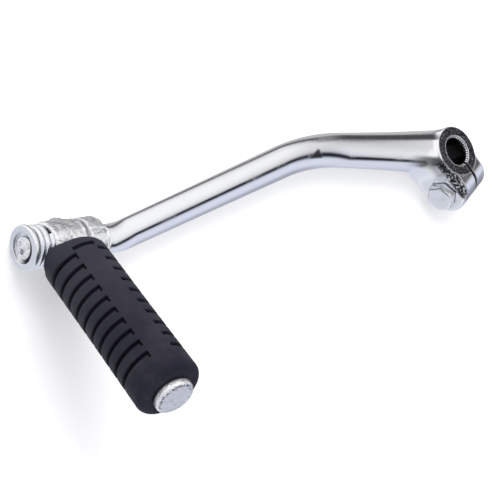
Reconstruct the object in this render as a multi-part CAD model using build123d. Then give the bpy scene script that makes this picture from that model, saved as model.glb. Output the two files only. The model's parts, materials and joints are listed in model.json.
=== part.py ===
from build123d import *
import math
import os

os.makedirs("parts", exist_ok=True)

# Folding kick start lever, sizes in millimetres.
# The origin is the middle of the boss on the bore's axis. Z runs along the bore to the outer face,
# X along the lever to the pedal, Y to the side of the clamp jaws.

# Boss with its serrated bore
BOSS_D = 25.0
BOSS_LEN = 22.0
BOSS_ROUND = 1.0
TOOTH_COUNT = 36
CREST_D = 13.8
TOOTH_DEPTH = 0.45
CREST_SHARE = 0.44
ROOT_SHARE = 0.20
MOUTH_D = 15.7
MOUTH_DEPTH = 0.9

# Clamp jaws and their bolt
JAW_ANGLE = 121.6
JAW_R = 11.0
JAW_ROUND = 2.2
JAW_ROOT = 6.3
JAW_BLEND = 6.0
JAW_SKIM = 0.1
SEAT_DIST = 13.9
TAIL_DIST = 10.0
SLIT_W = 1.4
BOLT_OFFSET = 12.7
BOLT_D = 8.0
BOLT_AF = 12.0
BOLT_HEAD_H = 5.3
BOLT_TURN = 16.2
BOLT_CLEAR = 0.2
THREAD_CLEAR = 0.02
BOLT_END_GAP = 1.0
BOLT_END_CHAMFER = 0.6
BOLT_CROWN_D = 11.4
BOLT_CROWN_SLOPE = 30.0
SPOT_CLEAR = 1.2

# Bent bar, round at the pedal end and fuller where it runs into the boss
ROOT_Y = -2.7
BEND1_X = 87.0
BEND1_Y = -9.2
BEND1_R = 120.0
BEND2_X = 206.7
BEND2_R = 40.0
SPIGOT_Y = 21.9
SHOULDER_X = 215.3
BAR_END_D = 12.4
BAR_TAPER = 0.02
ROOT_RISE = 1.9
ROOT_SPREAD = 2.0
ROOT_FULLNESS = 1.7
ROOT_RUN = 35.0
ROOT_TUCK = 0.7
TUCK_RUN = 6.0
BAR_STATIONS = 20
SECTION_POINTS = 24
WEB_HALF = 7.0
WEB_ROUND = 2.5
WEB_REACH = 23.0
WEB_DIP = 1.2
WEB_FOOT = 2.5
WEB_SINK = 2.2

# Pedal eye on the spigot
SPIGOT_D = 9.0
EYE_CLEAR = 0.05
EYE_D = 19.2
EYE_LEN = 20.0
NECK_LEN = 8.9
EYE_ROUND = 1.0
HUMP_D = 11.0
HUMP_RISE = 0.9

# Stop dog on the neck and stop finger on the eye, angles from Z towards Y
FOLD_SWING = 58.0
DOG_TOP = -17.0
DOG_STEP = 0.3
FINGER_SPAN = 92.0
FINGER_D = 19.6
STOP_CLEAR = 0.4
FACE_CLEAR = 0.04
FINGER_GAP = 2.2
FINGER_ROUND = 2.2

# Spring, dished washer and peened end
SPRING_D = 18.0
WIRE_D = 2.5
SPRING_LEN = 7.75
SPRING_TURNS = 2.85
SPRING_START = 200.0
WASHER_D = 18.8
WASHER_T = 2.3
WASHER_ROUND = 0.8
DISH_D = 13.0
DISH_DEPTH = 1.3
WASHER_FIT = 0.1
PEEN_D = 10.4
PEEN_H = 1.6
PEEN_CHAMFER = 1.0

# Pedal bar and rubber, lengths along the pedal from the spigot's axis
PEDAL_ANGLE = 57.5
PEDAL_BAR_D = 13.0
TIP_D = 16.6
TIP_LEN = 3.7
TIP_CHAMFER = 0.6
RUBBER_START = 9.0
RUBBER_LEN = 75.5
RUBBER_IN_D = 27.0
RUBBER_MID_D = 27.3
RUBBER_OUT_D = 28.1
RUBBER_IN_ROUND = 1.6
RUBBER_FIT = 0.03
END_TILT = 8.0
END_LOW_AT = 20.0
RUBBER_OUT_ROUND = 3.4
SADDLE_GAP = 0.4
GROOVE_COUNT = 10
GROOVE_FIRST = 7.9
GROOVE_PITCH = 6.15
GROOVE_W = 1.8
GROOVE_DEPTH = 1.6
HOOK_LEN = 1.4
HOOK_SPAN = 3.5
PANEL_ANGLE = -74.0
PANEL_SPAN = 42.0
PANEL_SLOT_AT = 5.0
PANEL_SLOT_W = 1.8
PANEL_SLOT_DEPTH = 1.0

# How far a cut runs past what it cuts, and a joined piece into what it joins
OVERCUT = 1.0
SINK = 2.0

# Derived places
eye_from = SHOULDER_X + NECK_LEN
eye_to = eye_from + EYE_LEN
spring_from = eye_to + FACE_CLEAR
washer_back = spring_from + SPRING_LEN
washer_front = washer_back + WASHER_T
dish_floor = washer_front - DISH_DEPTH
rubber_to = RUBBER_START + RUBBER_LEN
dog_span = 360.0 - FINGER_SPAN - FOLD_SWING - 2 * STOP_CLEAR
jaw_dir = Vector(math.cos(math.radians(JAW_ANGLE)), math.sin(math.radians(JAW_ANGLE)), 0)
bolt_dir = Vector(jaw_dir.Y, -jaw_dir.X, 0)
pedal_dir = Vector(0, math.sin(math.radians(PEDAL_ANGLE)), math.cos(math.radians(PEDAL_ANGLE)))
pedal_place = Plane(origin=(eye_from + EYE_LEN / 2, SPIGOT_Y, 0), x_dir=(1, 0, 0), z_dir=pedal_dir).location


def rod(radius, length):
    """A cylinder along Z from zero."""
    return Cylinder(radius, length, align=(Align.CENTER, Align.CENTER, Align.MIN))


def along_bolt(shape, side=0.0):
    """A shape built along Z from zero, laid along the bolt from a distance aside of the slit's plane."""
    start = jaw_point(BOLT_OFFSET, side)
    return Pos(start.X, start.Y, 0) * Rot(0, 0, JAW_ANGLE - 90) * Rot(0, 90, 0) * shape


def along_spigot(shape, x_from):
    """A shape built along Z from zero, laid along the spigot from x_from."""
    return Pos(x_from, SPIGOT_Y, 0) * Rot(0, 90, 0) * shape


def jaw_point(out, side):
    """A point of the jaws from its distance out from the bore and aside of the slit's plane."""
    return jaw_dir * out + bolt_dir * side


def sector(r_in, r_out, x_from, x_to, start, span):
    """Part of a ring about the spigot's axis, its angle counted from Z towards Y."""
    pie = Cylinder(r_out, x_to - x_from, arc_size=span, align=(Align.NONE, Align.NONE, Align.MIN))
    pie = Rot(0, 0, 180 - start - span) * pie
    return along_spigot(pie - rod(r_in, x_to - x_from), x_from)


def serrated_bore():
    """The bore's toothed hole with its two chamfered mouths."""
    pitch = 2 * math.pi / TOOTH_COUNT
    crest = CREST_D / 2
    root = crest + TOOTH_DEPTH
    half_crest = CREST_SHARE * pitch / 2
    half_root = ROOT_SHARE * pitch / 2

    def at(radius, angle):
        return (radius * math.cos(angle), radius * math.sin(angle))

    edges = []
    for i in range(TOOTH_COUNT):
        a = i * pitch
        b = a + pitch / 2
        edges.append(ThreePointArc(at(crest, a - half_crest), at(crest, a), at(crest, a + half_crest)))
        edges.append(Line(at(crest, a + half_crest), at(root, b - half_root)))
        edges.append(ThreePointArc(at(root, b - half_root), at(root, b), at(root, b + half_root)))
        edges.append(Line(at(root, b + half_root), at(crest, a + pitch - half_crest)))
    outline = make_face(Wire(edges))
    hole = extrude(Pos(0, 0, -BOSS_LEN / 2 - OVERCUT) * outline, BOSS_LEN + 2 * OVERCUT)
    slope = (MOUTH_D - CREST_D) / 2 / MOUTH_DEPTH
    lead = Cone(
        crest,
        MOUTH_D / 2 + slope * OVERCUT,
        MOUTH_DEPTH + OVERCUT,
        align=(Align.CENTER, Align.CENTER, Align.MIN),
    )
    upper = Pos(0, 0, BOSS_LEN / 2 - MOUTH_DEPTH) * lead
    lower = Pos(0, 0, -BOSS_LEN / 2 + MOUTH_DEPTH) * Rot(180, 0, 0) * lead
    return hole + upper + lower


def jaws():
    """The two jaws before the slit is cut: round about the bolt, tangent to the boss at its back."""
    width = SEAT_DIST + TAIL_DIST
    bar = fillet(rod(JAW_R, width).edges().filter_by(GeomType.CIRCLE), JAW_ROUND)
    depth = 2 * min(BOSS_LEN / 2, JAW_R) - 2 * JAW_SKIM
    reach = BOLT_OFFSET + JAW_ROOT
    flat = Box(reach, width, depth)
    flat = fillet(flat.edges().filter_by(Axis.Y).group_by(Axis.X)[0], JAW_BLEND)
    flat = fillet(flat.edges().filter_by(Axis.X), JAW_ROUND)
    middle = jaw_point(BOLT_OFFSET - reach / 2, (SEAT_DIST - TAIL_DIST) / 2)
    flat = Pos(middle.X, middle.Y, 0) * Rot(0, 0, JAW_ANGLE) * flat
    return along_bolt(bar, -TAIL_DIST) + flat


def bar_stations():
    """Centre, direction and run of each cross-section along the bent bar."""
    corners = [(0.0, ROOT_Y), (BEND1_X, BEND1_Y), (BEND2_X, SPIGOT_Y), (SHOULDER_X, SPIGOT_Y)]
    radii = [BEND1_R, BEND2_R]
    legs = []
    for a, b in zip(corners, corners[1:]):
        legs.append((math.hypot(b[0] - a[0], b[1] - a[1]), math.atan2(b[1] - a[1], b[0] - a[0])))
    cuts = [0.0]
    for i, radius in enumerate(radii):
        cuts.append(radius * math.tan(abs(legs[i + 1][1] - legs[i][1]) / 2))
    cuts.append(0.0)
    spans = []
    for i, (length, heading) in enumerate(legs):
        spans.append((length - cuts[i] - cuts[i + 1], heading, heading))
        if i < len(radii):
            turn = legs[i + 1][1] - heading
            spans.append((radii[i] * abs(turn), heading, legs[i + 1][1]))
    total = sum(span[0] for span in spans)
    found = []
    for k in range(BAR_STATIONS + 1):
        left = total * k / BAR_STATIONS
        x, y = corners[0]
        heading = legs[0][1]
        for length, h_from, h_to in spans:
            step = min(left, length)
            turn = (h_to - h_from) * step / length
            heading = h_from + turn
            chord = step if abs(turn) < 1e-9 else step * math.sin(turn / 2) / (turn / 2)
            x += chord * math.cos(h_from + turn / 2)
            y += chord * math.sin(h_from + turn / 2)
            left -= step
            if left < 1e-9:
                break
        found.append((x, y, heading, total * k / BAR_STATIONS, total))
    return found


def bar_section(x, y, heading, run, total):
    """One closed cross-section of the bar, square to its centre line."""
    near = math.exp(-run / ROOT_RUN)
    plain = BAR_END_D / 2 + BAR_TAPER * (total - run) / 2
    half_z = plain + ROOT_SPREAD * near
    half_y = plain + ROOT_RISE * near - ROOT_TUCK * math.exp(-run / TUCK_RUN)
    power = 2 / (2 + ROOT_FULLNESS * near)
    points = []
    for i in range(SECTION_POINTS):
        a = 2 * math.pi * (i + 0.5) / SECTION_POINTS
        c = math.cos(a)
        s = math.sin(a)
        u = half_z * math.copysign(abs(c) ** power, c)
        v = half_y * math.copysign(abs(s) ** power, s)
        points.append((u, v))
    plane = Plane(origin=(x, y, 0), x_dir=(0, 0, 1), z_dir=(math.cos(heading), math.sin(heading), 0))
    return plane * make_face(Spline(*points, periodic=True))


def web():
    """The hollow-curved web between the bar's lower side and the jaw under the bolt's head."""
    low = ROOT_Y + (BEND1_Y - ROOT_Y) * WEB_REACH / BEND1_X
    tip = (WEB_REACH, low + BAR_END_D / 2 + WEB_SINK)
    foot = jaw_point(WEB_FOOT, SEAT_DIST)
    back = jaw_point(WEB_FOOT, SEAT_DIST / 2)
    chord_x = foot.X - tip[0]
    chord_y = foot.Y - tip[1]
    long = math.hypot(chord_x, chord_y)
    middle = (
        (tip[0] + foot.X) / 2 - WEB_DIP * chord_y / long,
        (tip[1] + foot.Y) / 2 + WEB_DIP * chord_x / long,
    )
    hollow = ThreePointArc(tip, middle, (foot.X, foot.Y))
    rest = Polyline((foot.X, foot.Y), (back.X, back.Y), (back.X, low), (WEB_REACH, low), tip)
    plan = make_face(Wire([hollow, *rest.edges()]))
    block = extrude(Pos(0, 0, -WEB_HALF) * plan, 2 * WEB_HALF)
    return fillet(block.edges().filter_by(GeomType.CIRCLE), WEB_ROUND)


def kick_arm():
    """Boss, jaws, bar, neck with its stop dog and spigot, in one piece."""
    boss = Cylinder(BOSS_D / 2, BOSS_LEN)
    boss = fillet(boss.edges().filter_by(GeomType.CIRCLE), BOSS_ROUND)
    bar = loft([bar_section(*station) for station in bar_stations()])
    arm = boss + jaws() + bar + web()
    arm -= serrated_bore()
    reach = BOLT_OFFSET + JAW_R + OVERCUT
    middle = jaw_point(reach / 2, 0)
    arm -= Pos(middle.X, middle.Y, 0) * Rot(0, 0, JAW_ANGLE) * Box(reach, SLIT_W, BOSS_LEN + 2 * OVERCUT)
    arm -= along_bolt(rod(BOLT_D / 2 + BOLT_CLEAR, SEAT_DIST + OVERCUT))
    arm -= along_bolt(rod(BOLT_D / 2 + THREAD_CLEAR, TAIL_DIST + OVERCUT), -TAIL_DIST - OVERCUT)
    arm -= along_bolt(rod(BOLT_AF / 2 + SPOT_CLEAR, BOLT_HEAD_H + OVERCUT), SEAT_DIST)
    spigot = along_spigot(rod(SPIGOT_D / 2, dish_floor - SHOULDER_X + SINK), SHOULDER_X - SINK)
    dog_r = BAR_END_D / 2 - DOG_STEP
    dog = sector(SPIGOT_D / 4, dog_r, SHOULDER_X - SINK, eye_from - FACE_CLEAR, DOG_TOP, dog_span)
    peen = rod(PEEN_D / 2, PEEN_H)
    peen = chamfer(peen.edges().filter_by(GeomType.CIRCLE).sort_by(Axis.Z)[-1], PEEN_CHAMFER)
    return arm + spigot + dog + along_spigot(peen, dish_floor)


def clamp_bolt():
    """Hexagon head bolt: the head on the near jaw's seat, the shank held in the far jaw."""
    turn = 30 + BOLT_TURN
    head = extrude(RegularPolygon(BOLT_AF / 2, 6, major_radius=False, rotation=turn), BOLT_HEAD_H)
    corner = BOLT_AF / math.sqrt(3)
    drop = (corner - BOLT_CROWN_D / 2) * math.tan(math.radians(BOLT_CROWN_SLOPE))
    crown = Cone(corner, BOLT_CROWN_D / 2, drop, align=(Align.CENTER, Align.CENTER, Align.MAX))
    head = head & (rod(corner, BOLT_HEAD_H - drop) + Pos(0, 0, BOLT_HEAD_H) * crown)
    length = SEAT_DIST + TAIL_DIST - BOLT_END_GAP
    shank = rod(BOLT_D / 2, length)
    shank = chamfer(shank.edges().filter_by(GeomType.CIRCLE).sort_by(Axis.Z)[0], BOLT_END_CHAMFER)
    return along_bolt(head, SEAT_DIST) + along_bolt(shank, SEAT_DIST - length)


def pedal_bar():
    """Eye on the spigot with its stop finger, and the bar with the round head at the pedal's tip."""
    eye = rod(EYE_D / 2, EYE_LEN)
    eye = fillet(eye.edges().filter_by(GeomType.CIRCLE), EYE_ROUND)
    body = along_spigot(eye, eye_from)
    body += pedal_place * rod(PEDAL_BAR_D / 2, rubber_to + TIP_LEN / 2)
    tip = rod(TIP_D / 2, TIP_LEN)
    tip = chamfer(tip.edges().filter_by(GeomType.CIRCLE).sort_by(Axis.Z)[-1], TIP_CHAMFER)
    body += pedal_place * Pos(0, 0, rubber_to) * tip
    hump = rod(HUMP_D / 2, EYE_D / 2 + HUMP_RISE)
    hump = fillet(hump.edges().filter_by(GeomType.CIRCLE).sort_by(Axis.Z)[-1], HUMP_RISE)
    body += pedal_place * Rot(180, 0, 0) * hump
    finger = sector(
        SPIGOT_D / 2 + EYE_CLEAR,
        FINGER_D / 2,
        SHOULDER_X + FINGER_GAP,
        eye_from + SINK,
        DOG_TOP - STOP_CLEAR - FINGER_SPAN,
        FINGER_SPAN,
    )
    arcs = finger.edges().filter_by(GeomType.CIRCLE).group_by(Axis.X)[0]
    body += fillet(arcs.sort_by(SortBy.RADIUS)[-1], FINGER_ROUND)
    return body - along_spigot(rod(SPIGOT_D / 2 + EYE_CLEAR, EYE_LEN + 2 * OVERCUT), eye_from - OVERCUT)


def pedal_rubber():
    """Ribbed sleeve: grooves round all but one plain panel, which a short slot closes at the inner end."""
    hole = PEDAL_BAR_D / 2 + RUBBER_FIT
    drop = RUBBER_IN_D * math.tan(math.radians(END_TILT))
    taper = (RUBBER_MID_D - RUBBER_IN_D) / RUBBER_LEN
    profile = make_face(
        Polyline(
            (hole, -drop),
            (RUBBER_IN_D / 2 - taper * drop, -drop),
            (RUBBER_MID_D / 2, RUBBER_LEN / 2),
            (RUBBER_OUT_D / 2, RUBBER_LEN),
            (hole, RUBBER_LEN),
            close=True,
        )
    )
    sleeve = revolve(Plane.XZ * profile, Axis.Z)
    rim = sleeve.edges().filter_by(GeomType.CIRCLE).group_by(Axis.Z)[-1].sort_by(SortBy.RADIUS)[-1]
    sleeve = fillet(rim, RUBBER_OUT_ROUND)
    slant = Rot(0, 0, END_LOW_AT) * Rot(0, END_TILT, 0)
    below = (Align.CENTER, Align.CENTER, Align.MAX)
    sleeve -= slant * Box(2 * RUBBER_IN_D, 2 * RUBBER_IN_D, RUBBER_IN_D, align=below)
    end_face = sleeve.faces().sort_by(Axis.Z)[0]
    sleeve = fillet(end_face.outer_wire().edges(), RUBBER_IN_ROUND)
    ring = RUBBER_OUT_D
    start = PANEL_ANGLE + PANEL_SPAN / 2
    floor = RUBBER_MID_D / 2 - GROOVE_DEPTH
    grooves = None
    for i in range(GROOVE_COUNT):
        at = GROOVE_FIRST + i * GROOVE_PITCH
        cut = Pos(floor + ring / 2, at) * Rectangle(ring, GROOVE_W)
        round_cut = revolve(Plane.XZ * cut, Axis.Z, 360 - PANEL_SPAN)
        hook = Pos(floor + ring / 2, at + HOOK_LEN / 2) * Rectangle(ring, GROOVE_W + HOOK_LEN)
        hook_cut = revolve(Plane.XZ * hook, Axis.Z, HOOK_SPAN)
        both = Rot(0, 0, start) * (round_cut + hook_cut)
        grooves = both if grooves is None else grooves + both
    slot_floor = RUBBER_IN_D / 2 - PANEL_SLOT_DEPTH
    slot = Pos(slot_floor + ring / 2, PANEL_SLOT_AT) * Rectangle(ring, PANEL_SLOT_W)
    slot_cut = Rot(0, 0, PANEL_ANGLE - PANEL_SPAN / 2) * revolve(Plane.XZ * slot, Axis.Z, PANEL_SPAN)
    sleeve = pedal_place * Pos(0, 0, RUBBER_START) * (sleeve - grooves - slot_cut)
    saddle = rod(EYE_D / 2 + SADDLE_GAP, EYE_LEN + RUBBER_OUT_D)
    return sleeve - along_spigot(saddle, eye_from - RUBBER_OUT_D / 2)


def fold_spring():
    """Thick wire coil with both ends ground flat."""
    mean = (SPRING_D - WIRE_D) / 2
    line = Helix(SPRING_LEN / SPRING_TURNS, SPRING_LEN, mean)
    wire = sweep(Plane(origin=line @ 0, z_dir=line % 0) * Circle(WIRE_D / 2), path=line, is_frenet=True)
    slab = rod(SPRING_D, SPRING_LEN)
    return along_spigot(Rot(0, 0, SPRING_START) * (wire & slab), spring_from)


def end_washer():
    """Dished washer on the spigot's end, under the peened rim."""
    disc = rod(WASHER_D / 2, WASHER_T)
    disc = fillet(disc.edges().filter_by(GeomType.CIRCLE), WASHER_ROUND)
    disc -= Pos(0, 0, WASHER_T - DISH_DEPTH) * rod(DISH_D / 2, DISH_DEPTH + OVERCUT)
    disc -= Pos(0, 0, -OVERCUT) * rod(SPIGOT_D / 2 + WASHER_FIT, WASHER_T + 2 * OVERCUT)
    return along_spigot(disc, washer_back)


export_step(kick_arm(), "parts/kick_arm.step")
export_step(clamp_bolt(), "parts/clamp_bolt.step")
export_step(pedal_bar(), "parts/pedal_bar.step")
export_step(pedal_rubber(), "parts/pedal_rubber.step")
export_step(fold_spring(), "parts/fold_spring.step")
export_step(end_washer(), "parts/end_washer.step")
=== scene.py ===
import json
import logging
import math
from dataclasses import dataclass, field
from enum import Enum
from functools import reduce
from typing import Any, Callable, Sequence

import bpy
import numpy as np
from mathutils import Matrix, Vector, noise

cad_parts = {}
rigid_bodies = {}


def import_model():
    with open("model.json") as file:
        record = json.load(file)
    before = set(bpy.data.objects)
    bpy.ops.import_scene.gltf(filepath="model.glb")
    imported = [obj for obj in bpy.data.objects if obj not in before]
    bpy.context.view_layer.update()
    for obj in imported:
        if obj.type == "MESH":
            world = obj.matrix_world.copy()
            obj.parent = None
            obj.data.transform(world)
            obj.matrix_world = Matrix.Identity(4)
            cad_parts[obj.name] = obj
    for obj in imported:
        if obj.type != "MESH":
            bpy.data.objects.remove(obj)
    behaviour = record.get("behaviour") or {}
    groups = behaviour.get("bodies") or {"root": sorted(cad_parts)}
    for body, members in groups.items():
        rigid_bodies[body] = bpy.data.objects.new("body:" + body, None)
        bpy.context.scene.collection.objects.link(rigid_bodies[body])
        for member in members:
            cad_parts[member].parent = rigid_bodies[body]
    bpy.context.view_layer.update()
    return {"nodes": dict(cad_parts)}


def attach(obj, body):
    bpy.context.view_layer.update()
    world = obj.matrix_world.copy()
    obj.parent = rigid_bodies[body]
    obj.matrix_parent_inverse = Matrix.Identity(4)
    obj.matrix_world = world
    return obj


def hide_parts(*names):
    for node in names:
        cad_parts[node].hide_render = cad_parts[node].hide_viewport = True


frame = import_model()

log = logging.getLogger("lever")

Array = np.ndarray
Field = Callable[[Array, Array, Array], Array]
Colour = tuple[float, float, float]
Point = tuple[float, float, float]
Span = tuple[float, float]
Edges = tuple[Span, ...]
Runs = tuple[Point, ...]
Ramp = tuple[tuple[float, Colour], ...]
Material, Mesh, Object = bpy.types.Material, bpy.types.Mesh, bpy.types.Object

MM = 0.001

# Sizes that neighbouring pieces share, in millimetres and degrees
JAW_ANGLE = 121.6
BOLT_OUT = 12.7
BOLT_SEAT = 13.9
SLIT_WIDTH = 1.4
BOSS_HALF = 11.0
MOUTH_R = 7.85
SPIGOT_Y = 21.9


class Body(Enum):
    """The two bodies that the lever's pieces ride on."""

    ARM = "arm"
    PEDAL = "pedal"


class Slot(Enum):
    """The record's material slots."""

    CHROME = "arm_chrome"
    BOLT = "bolt_zinc"
    PEDAL = "pedal_steel"
    RUBBER = "pedal_rubber"
    SPRING = "spring_steel"
    WASHER = "washer_zinc"


class Mark(Enum):
    """Vertex attributes that tell a finish where a surface differs."""

    # BARE: bare plate on the arm, with a painted dark reflection along the bar's top; painted shade on the
    # bolt and in the washer's dish; on the pedal, its duller side and the tip's face
    BARE = "bare"
    PITTED = "pitted"
    # Painted dark reflections on the arm: a wedge at the bend, a band at the web and a line along the bar's
    # top
    SHADE = "shade"
    # GROOVE: painted shade in the rubber's grooves; on the casting and the peened head, dirt and painted
    # shade
    GROOVE = "groove"
    WALL = "wall"


# Node trees


class Sock:
    """A node's output that takes part in arithmetic, each operation adding a Math node."""

    def __init__(self, graph: "Graph", socket: bpy.types.NodeSocket) -> None:
        """Wraps a socket of the graph's tree."""
        self.graph = graph
        self.socket = socket

    def __add__(self, other: Any) -> "Sock":
        """Sum."""
        return self.graph.math("ADD", self, other)

    def __radd__(self, other: Any) -> "Sock":
        """Sum, reflected."""
        return self.graph.math("ADD", other, self)

    def __sub__(self, other: Any) -> "Sock":
        """Difference."""
        return self.graph.math("SUBTRACT", self, other)

    def __rsub__(self, other: Any) -> "Sock":
        """Difference, reflected."""
        return self.graph.math("SUBTRACT", other, self)

    def __mul__(self, other: Any) -> "Sock":
        """Product."""
        return self.graph.math("MULTIPLY", self, other)

    def __rmul__(self, other: Any) -> "Sock":
        """Product, reflected."""
        return self.graph.math("MULTIPLY", other, self)

    def __truediv__(self, other: Any) -> "Sock":
        """Quotient."""
        return self.graph.math("DIVIDE", self, other)

    def __rtruediv__(self, other: Any) -> "Sock":
        """Quotient, reflected."""
        return self.graph.math("DIVIDE", other, self)

    def __gt__(self, other: Any) -> "Sock":
        """One where this is greater, else zero."""
        return self.graph.math("GREATER_THAN", self, other)

    def __lt__(self, other: Any) -> "Sock":
        """One where this is less, else zero."""
        return self.graph.math("LESS_THAN", self, other)


class Graph:
    """Adds nodes to one node tree, of a shader or of geometry."""

    def __init__(self, tree: bpy.types.NodeTree) -> None:
        """Starts on an empty tree."""
        self.tree = tree
        tree.nodes.clear()

    def node(
        self, kind: str, settings: dict[str, Any] | None = None, sockets: dict[Any, Any] | None = None
    ) -> bpy.types.Node:
        """Adds one node.

        Args:
            kind: The node's type name.
            settings: Properties set first; "stops" fills a colour ramp with (place, colour) pairs.
            sockets: Values or links for its inputs, by name or index.

        Returns:
            The new node.
        """
        made = self.tree.nodes.new(kind)
        for key, value in (settings or {}).items():
            if key == "stops":
                ramp = made.color_ramp
                while len(ramp.elements) < len(value):
                    ramp.elements.new(0.5)
                for element, (place, colour) in zip(ramp.elements, value):
                    element.position = place
                    element.color = (*colour, 1.0)
            else:
                setattr(made, key, value)
        for key, value in (sockets or {}).items():
            self.feed(made.inputs[key], value)
        return made

    def feed(self, target: bpy.types.NodeSocket, value: Any) -> None:
        """Links a wrapped socket to an input, or sets the input's value.

        Args:
            target: The input.
            value: A wrapped socket, or a value of the input's kind; a colour comes without its alpha.
        """
        if isinstance(value, Sock):
            self.tree.links.new(value.socket, target)
        elif isinstance(value, tuple) and target.type == "RGBA":
            target.default_value = (*value[:3], 1.0)
        else:
            target.default_value = value

    def out(self, made: bpy.types.Node, key: Any = 0) -> Sock:
        """One output of a node, wrapped."""
        return Sock(self, made.outputs[key])

    def math(self, operation: str, *values: Any, clamp: bool = False) -> Sock:
        """A Math node on values or wrapped sockets."""
        settings = {"operation": operation, "use_clamp": clamp}
        return self.out(self.node("ShaderNodeMath", settings, dict(enumerate(values))))

    def vector(self, operation: str, *values: Any, key: Any = "Vector") -> Sock:
        """A Vector Math node; key names the output that is wanted."""
        made = self.node("ShaderNodeVectorMath", {"operation": operation}, dict(enumerate(values)))
        return self.out(made, key)

    def ease(self, value: Sock, low: float, high: float) -> Sock:
        """Makes a smooth step.

        Args:
            value: What is stepped.
            low: Where the step is zero.
            high: Where it is one, below low for a falling step.

        Returns:
            The step, from zero to one.
        """
        sockets = {"Value": value, "From Min": low, "From Max": high}
        made = self.node("ShaderNodeMapRange", {"interpolation_type": "SMOOTHSTEP"}, sockets)
        return self.out(made, "Result")

    def split(self, value: Sock) -> tuple[Sock, Sock, Sock]:
        """A vector's three parts."""
        made = self.node("ShaderNodeSeparateXYZ", None, {0: value})
        return self.out(made, 0), self.out(made, 1), self.out(made, 2)

    def join(self, x: Any, y: Any, z: Any) -> Sock:
        """A vector from three parts."""
        return self.out(self.node("ShaderNodeCombineXYZ", None, {0: x, 1: y, 2: z}))


class Shade(Graph):
    """A material's or the world's shader tree."""

    @classmethod
    def material(cls, name: str) -> tuple[Material, "Shade"]:
        """Starts a material.

        Args:
            name: The material's name.

        Returns:
            The new material and its empty tree.
        """
        made = bpy.data.materials.new(name)
        made.use_nodes = True
        return made, cls(made.node_tree)

    def place(self) -> Sock:
        """The object's own coordinates."""
        return self.out(self.node("ShaderNodeTexCoord"), "Object")

    def mark(self, name: Mark) -> Sock:
        """A vertex attribute as a number."""
        return self.out(self.node("ShaderNodeAttribute", {"attribute_name": name.value}), "Fac")

    def turned(self, place: Sock, angles: Point, scale: Point) -> Sock:
        """Coordinates turned and stretched by a Mapping node."""
        sockets = {"Vector": place, "Rotation": angles, "Scale": scale}
        return self.out(self.node("ShaderNodeMapping", None, sockets))

    def grain(self, place: Sock, scale: float, detail: float = 3.0, rough: float = 0.55) -> Sock:
        """Fractal noise from zero to one."""
        sockets = {"Vector": place, "Scale": scale, "Detail": detail, "Roughness": rough}
        return self.out(self.node("ShaderNodeTexNoise", None, sockets), "Fac")

    def cells(self, place: Sock, scale: float) -> Sock:
        """Distance to the nearest of scattered points."""
        made = self.node("ShaderNodeTexVoronoi", None, {"Vector": place, "Scale": scale})
        return self.out(made, "Distance")

    def blend(self, share: Any, first: Any, second: Any) -> Sock:
        """Mixes two colours.

        Args:
            share: The second colour's share, from zero to one.
            first: A colour or a wrapped socket.
            second: Another.

        Returns:
            The mixed colour.
        """
        settings = {"data_type": "RGBA", "clamp_factor": True}
        made = self.node("ShaderNodeMix", settings, {"Factor": share})
        colours = [s for s in made.inputs if s.type == "RGBA"]
        self.feed(colours[0], first)
        self.feed(colours[1], second)
        return self.out(made, [s.type for s in made.outputs].index("RGBA"))

    def bump(self, height: Sock, strength: float, depth: float) -> Sock:
        """A bumped normal, depth in millimetres."""
        sockets = {"Strength": strength, "Distance": depth * MM, "Height": height}
        return self.out(self.node("ShaderNodeBump", None, sockets))

    def mirrored(self, ray: bpy.types.Node) -> Sock:
        """One for rays that a shiny or clear surface sends on, from a Light Path node."""
        return self.math("MAXIMUM", self.out(ray, "Is Glossy Ray"), self.out(ray, "Is Transmission Ray"))

    def surface(self, **sockets: Any) -> None:
        """Ends the tree in one Principled shader.

        Args:
            **sockets: Values or links by socket name, with underscores for spaces.
        """
        named = {key.replace("_", " "): value for key, value in sockets.items()}
        shader = self.node("ShaderNodeBsdfPrincipled", None, named)
        self.node("ShaderNodeOutputMaterial", None, {"Surface": self.out(shader)})


class Build(Graph):
    """A geometry tree with named inputs that ends in Realize Instances and Set Material."""

    def __init__(self, name: str, sizes: dict[str, float]) -> None:
        """Makes the tree with its inputs.

        Args:
            name: The tree's name.
            sizes: Its numbers by name, in metres or radians.
        """
        super().__init__(bpy.data.node_groups.new(name, "GeometryNodeTree"))
        face = self.tree.interface
        face.new_socket("Geometry", in_out="INPUT", socket_type="NodeSocketGeometry")
        face.new_socket("Geometry", in_out="OUTPUT", socket_type="NodeSocketGeometry")
        self.ids: dict[str, str] = {}
        for key in sizes:
            self.ids[key] = face.new_socket(key, in_out="INPUT", socket_type="NodeSocketFloat").identifier
        self.sizes = sizes
        self.start = self.node("NodeGroupInput")
        self.place = self.out(self.node("GeometryNodeInputPosition"))

    def size(self, key: str) -> Sock:
        """A named input."""
        return self.out(self.start, key)

    def base(self) -> Sock:
        """The mesh that the modifier sits on."""
        return self.out(self.start, "Geometry")

    def moved(self, shape: Sock, place: Sock) -> Sock:
        """A shape with its points put at new places."""
        return self.out(self.node("GeometryNodeSetPosition", None, {"Geometry": shape, "Position": place}))

    def close(self, shape: Sock, finish: Material) -> None:
        """Ends the tree.

        Args:
            shape: The geometry that the tree gives.
            finish: Its material.
        """
        whole = self.out(self.node("GeometryNodeRealizeInstances", None, {"Geometry": shape}))
        made = self.node("GeometryNodeSetMaterial", None, {"Geometry": whole, "Material": finish})
        self.node("NodeGroupOutput", None, {0: self.out(made)})

    def run(self, host: Object) -> Mesh:
        """Evaluates the tree on an object and gives a plain mesh.

        Args:
            host: The object that carries the starting mesh.

        Returns:
            The evaluated mesh, with the modifier taken off the host again.
        """
        modifier = host.modifiers.new("build", "NODES")
        modifier.node_group = self.tree
        for key, value in self.sizes.items():
            modifier[self.ids[key]] = value
        graph = bpy.context.evaluated_depsgraph_get()
        made = bpy.data.meshes.new_from_object(host.evaluated_get(graph), depsgraph=graph)
        host.modifiers.remove(modifier)
        return made


# Meshes


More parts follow.
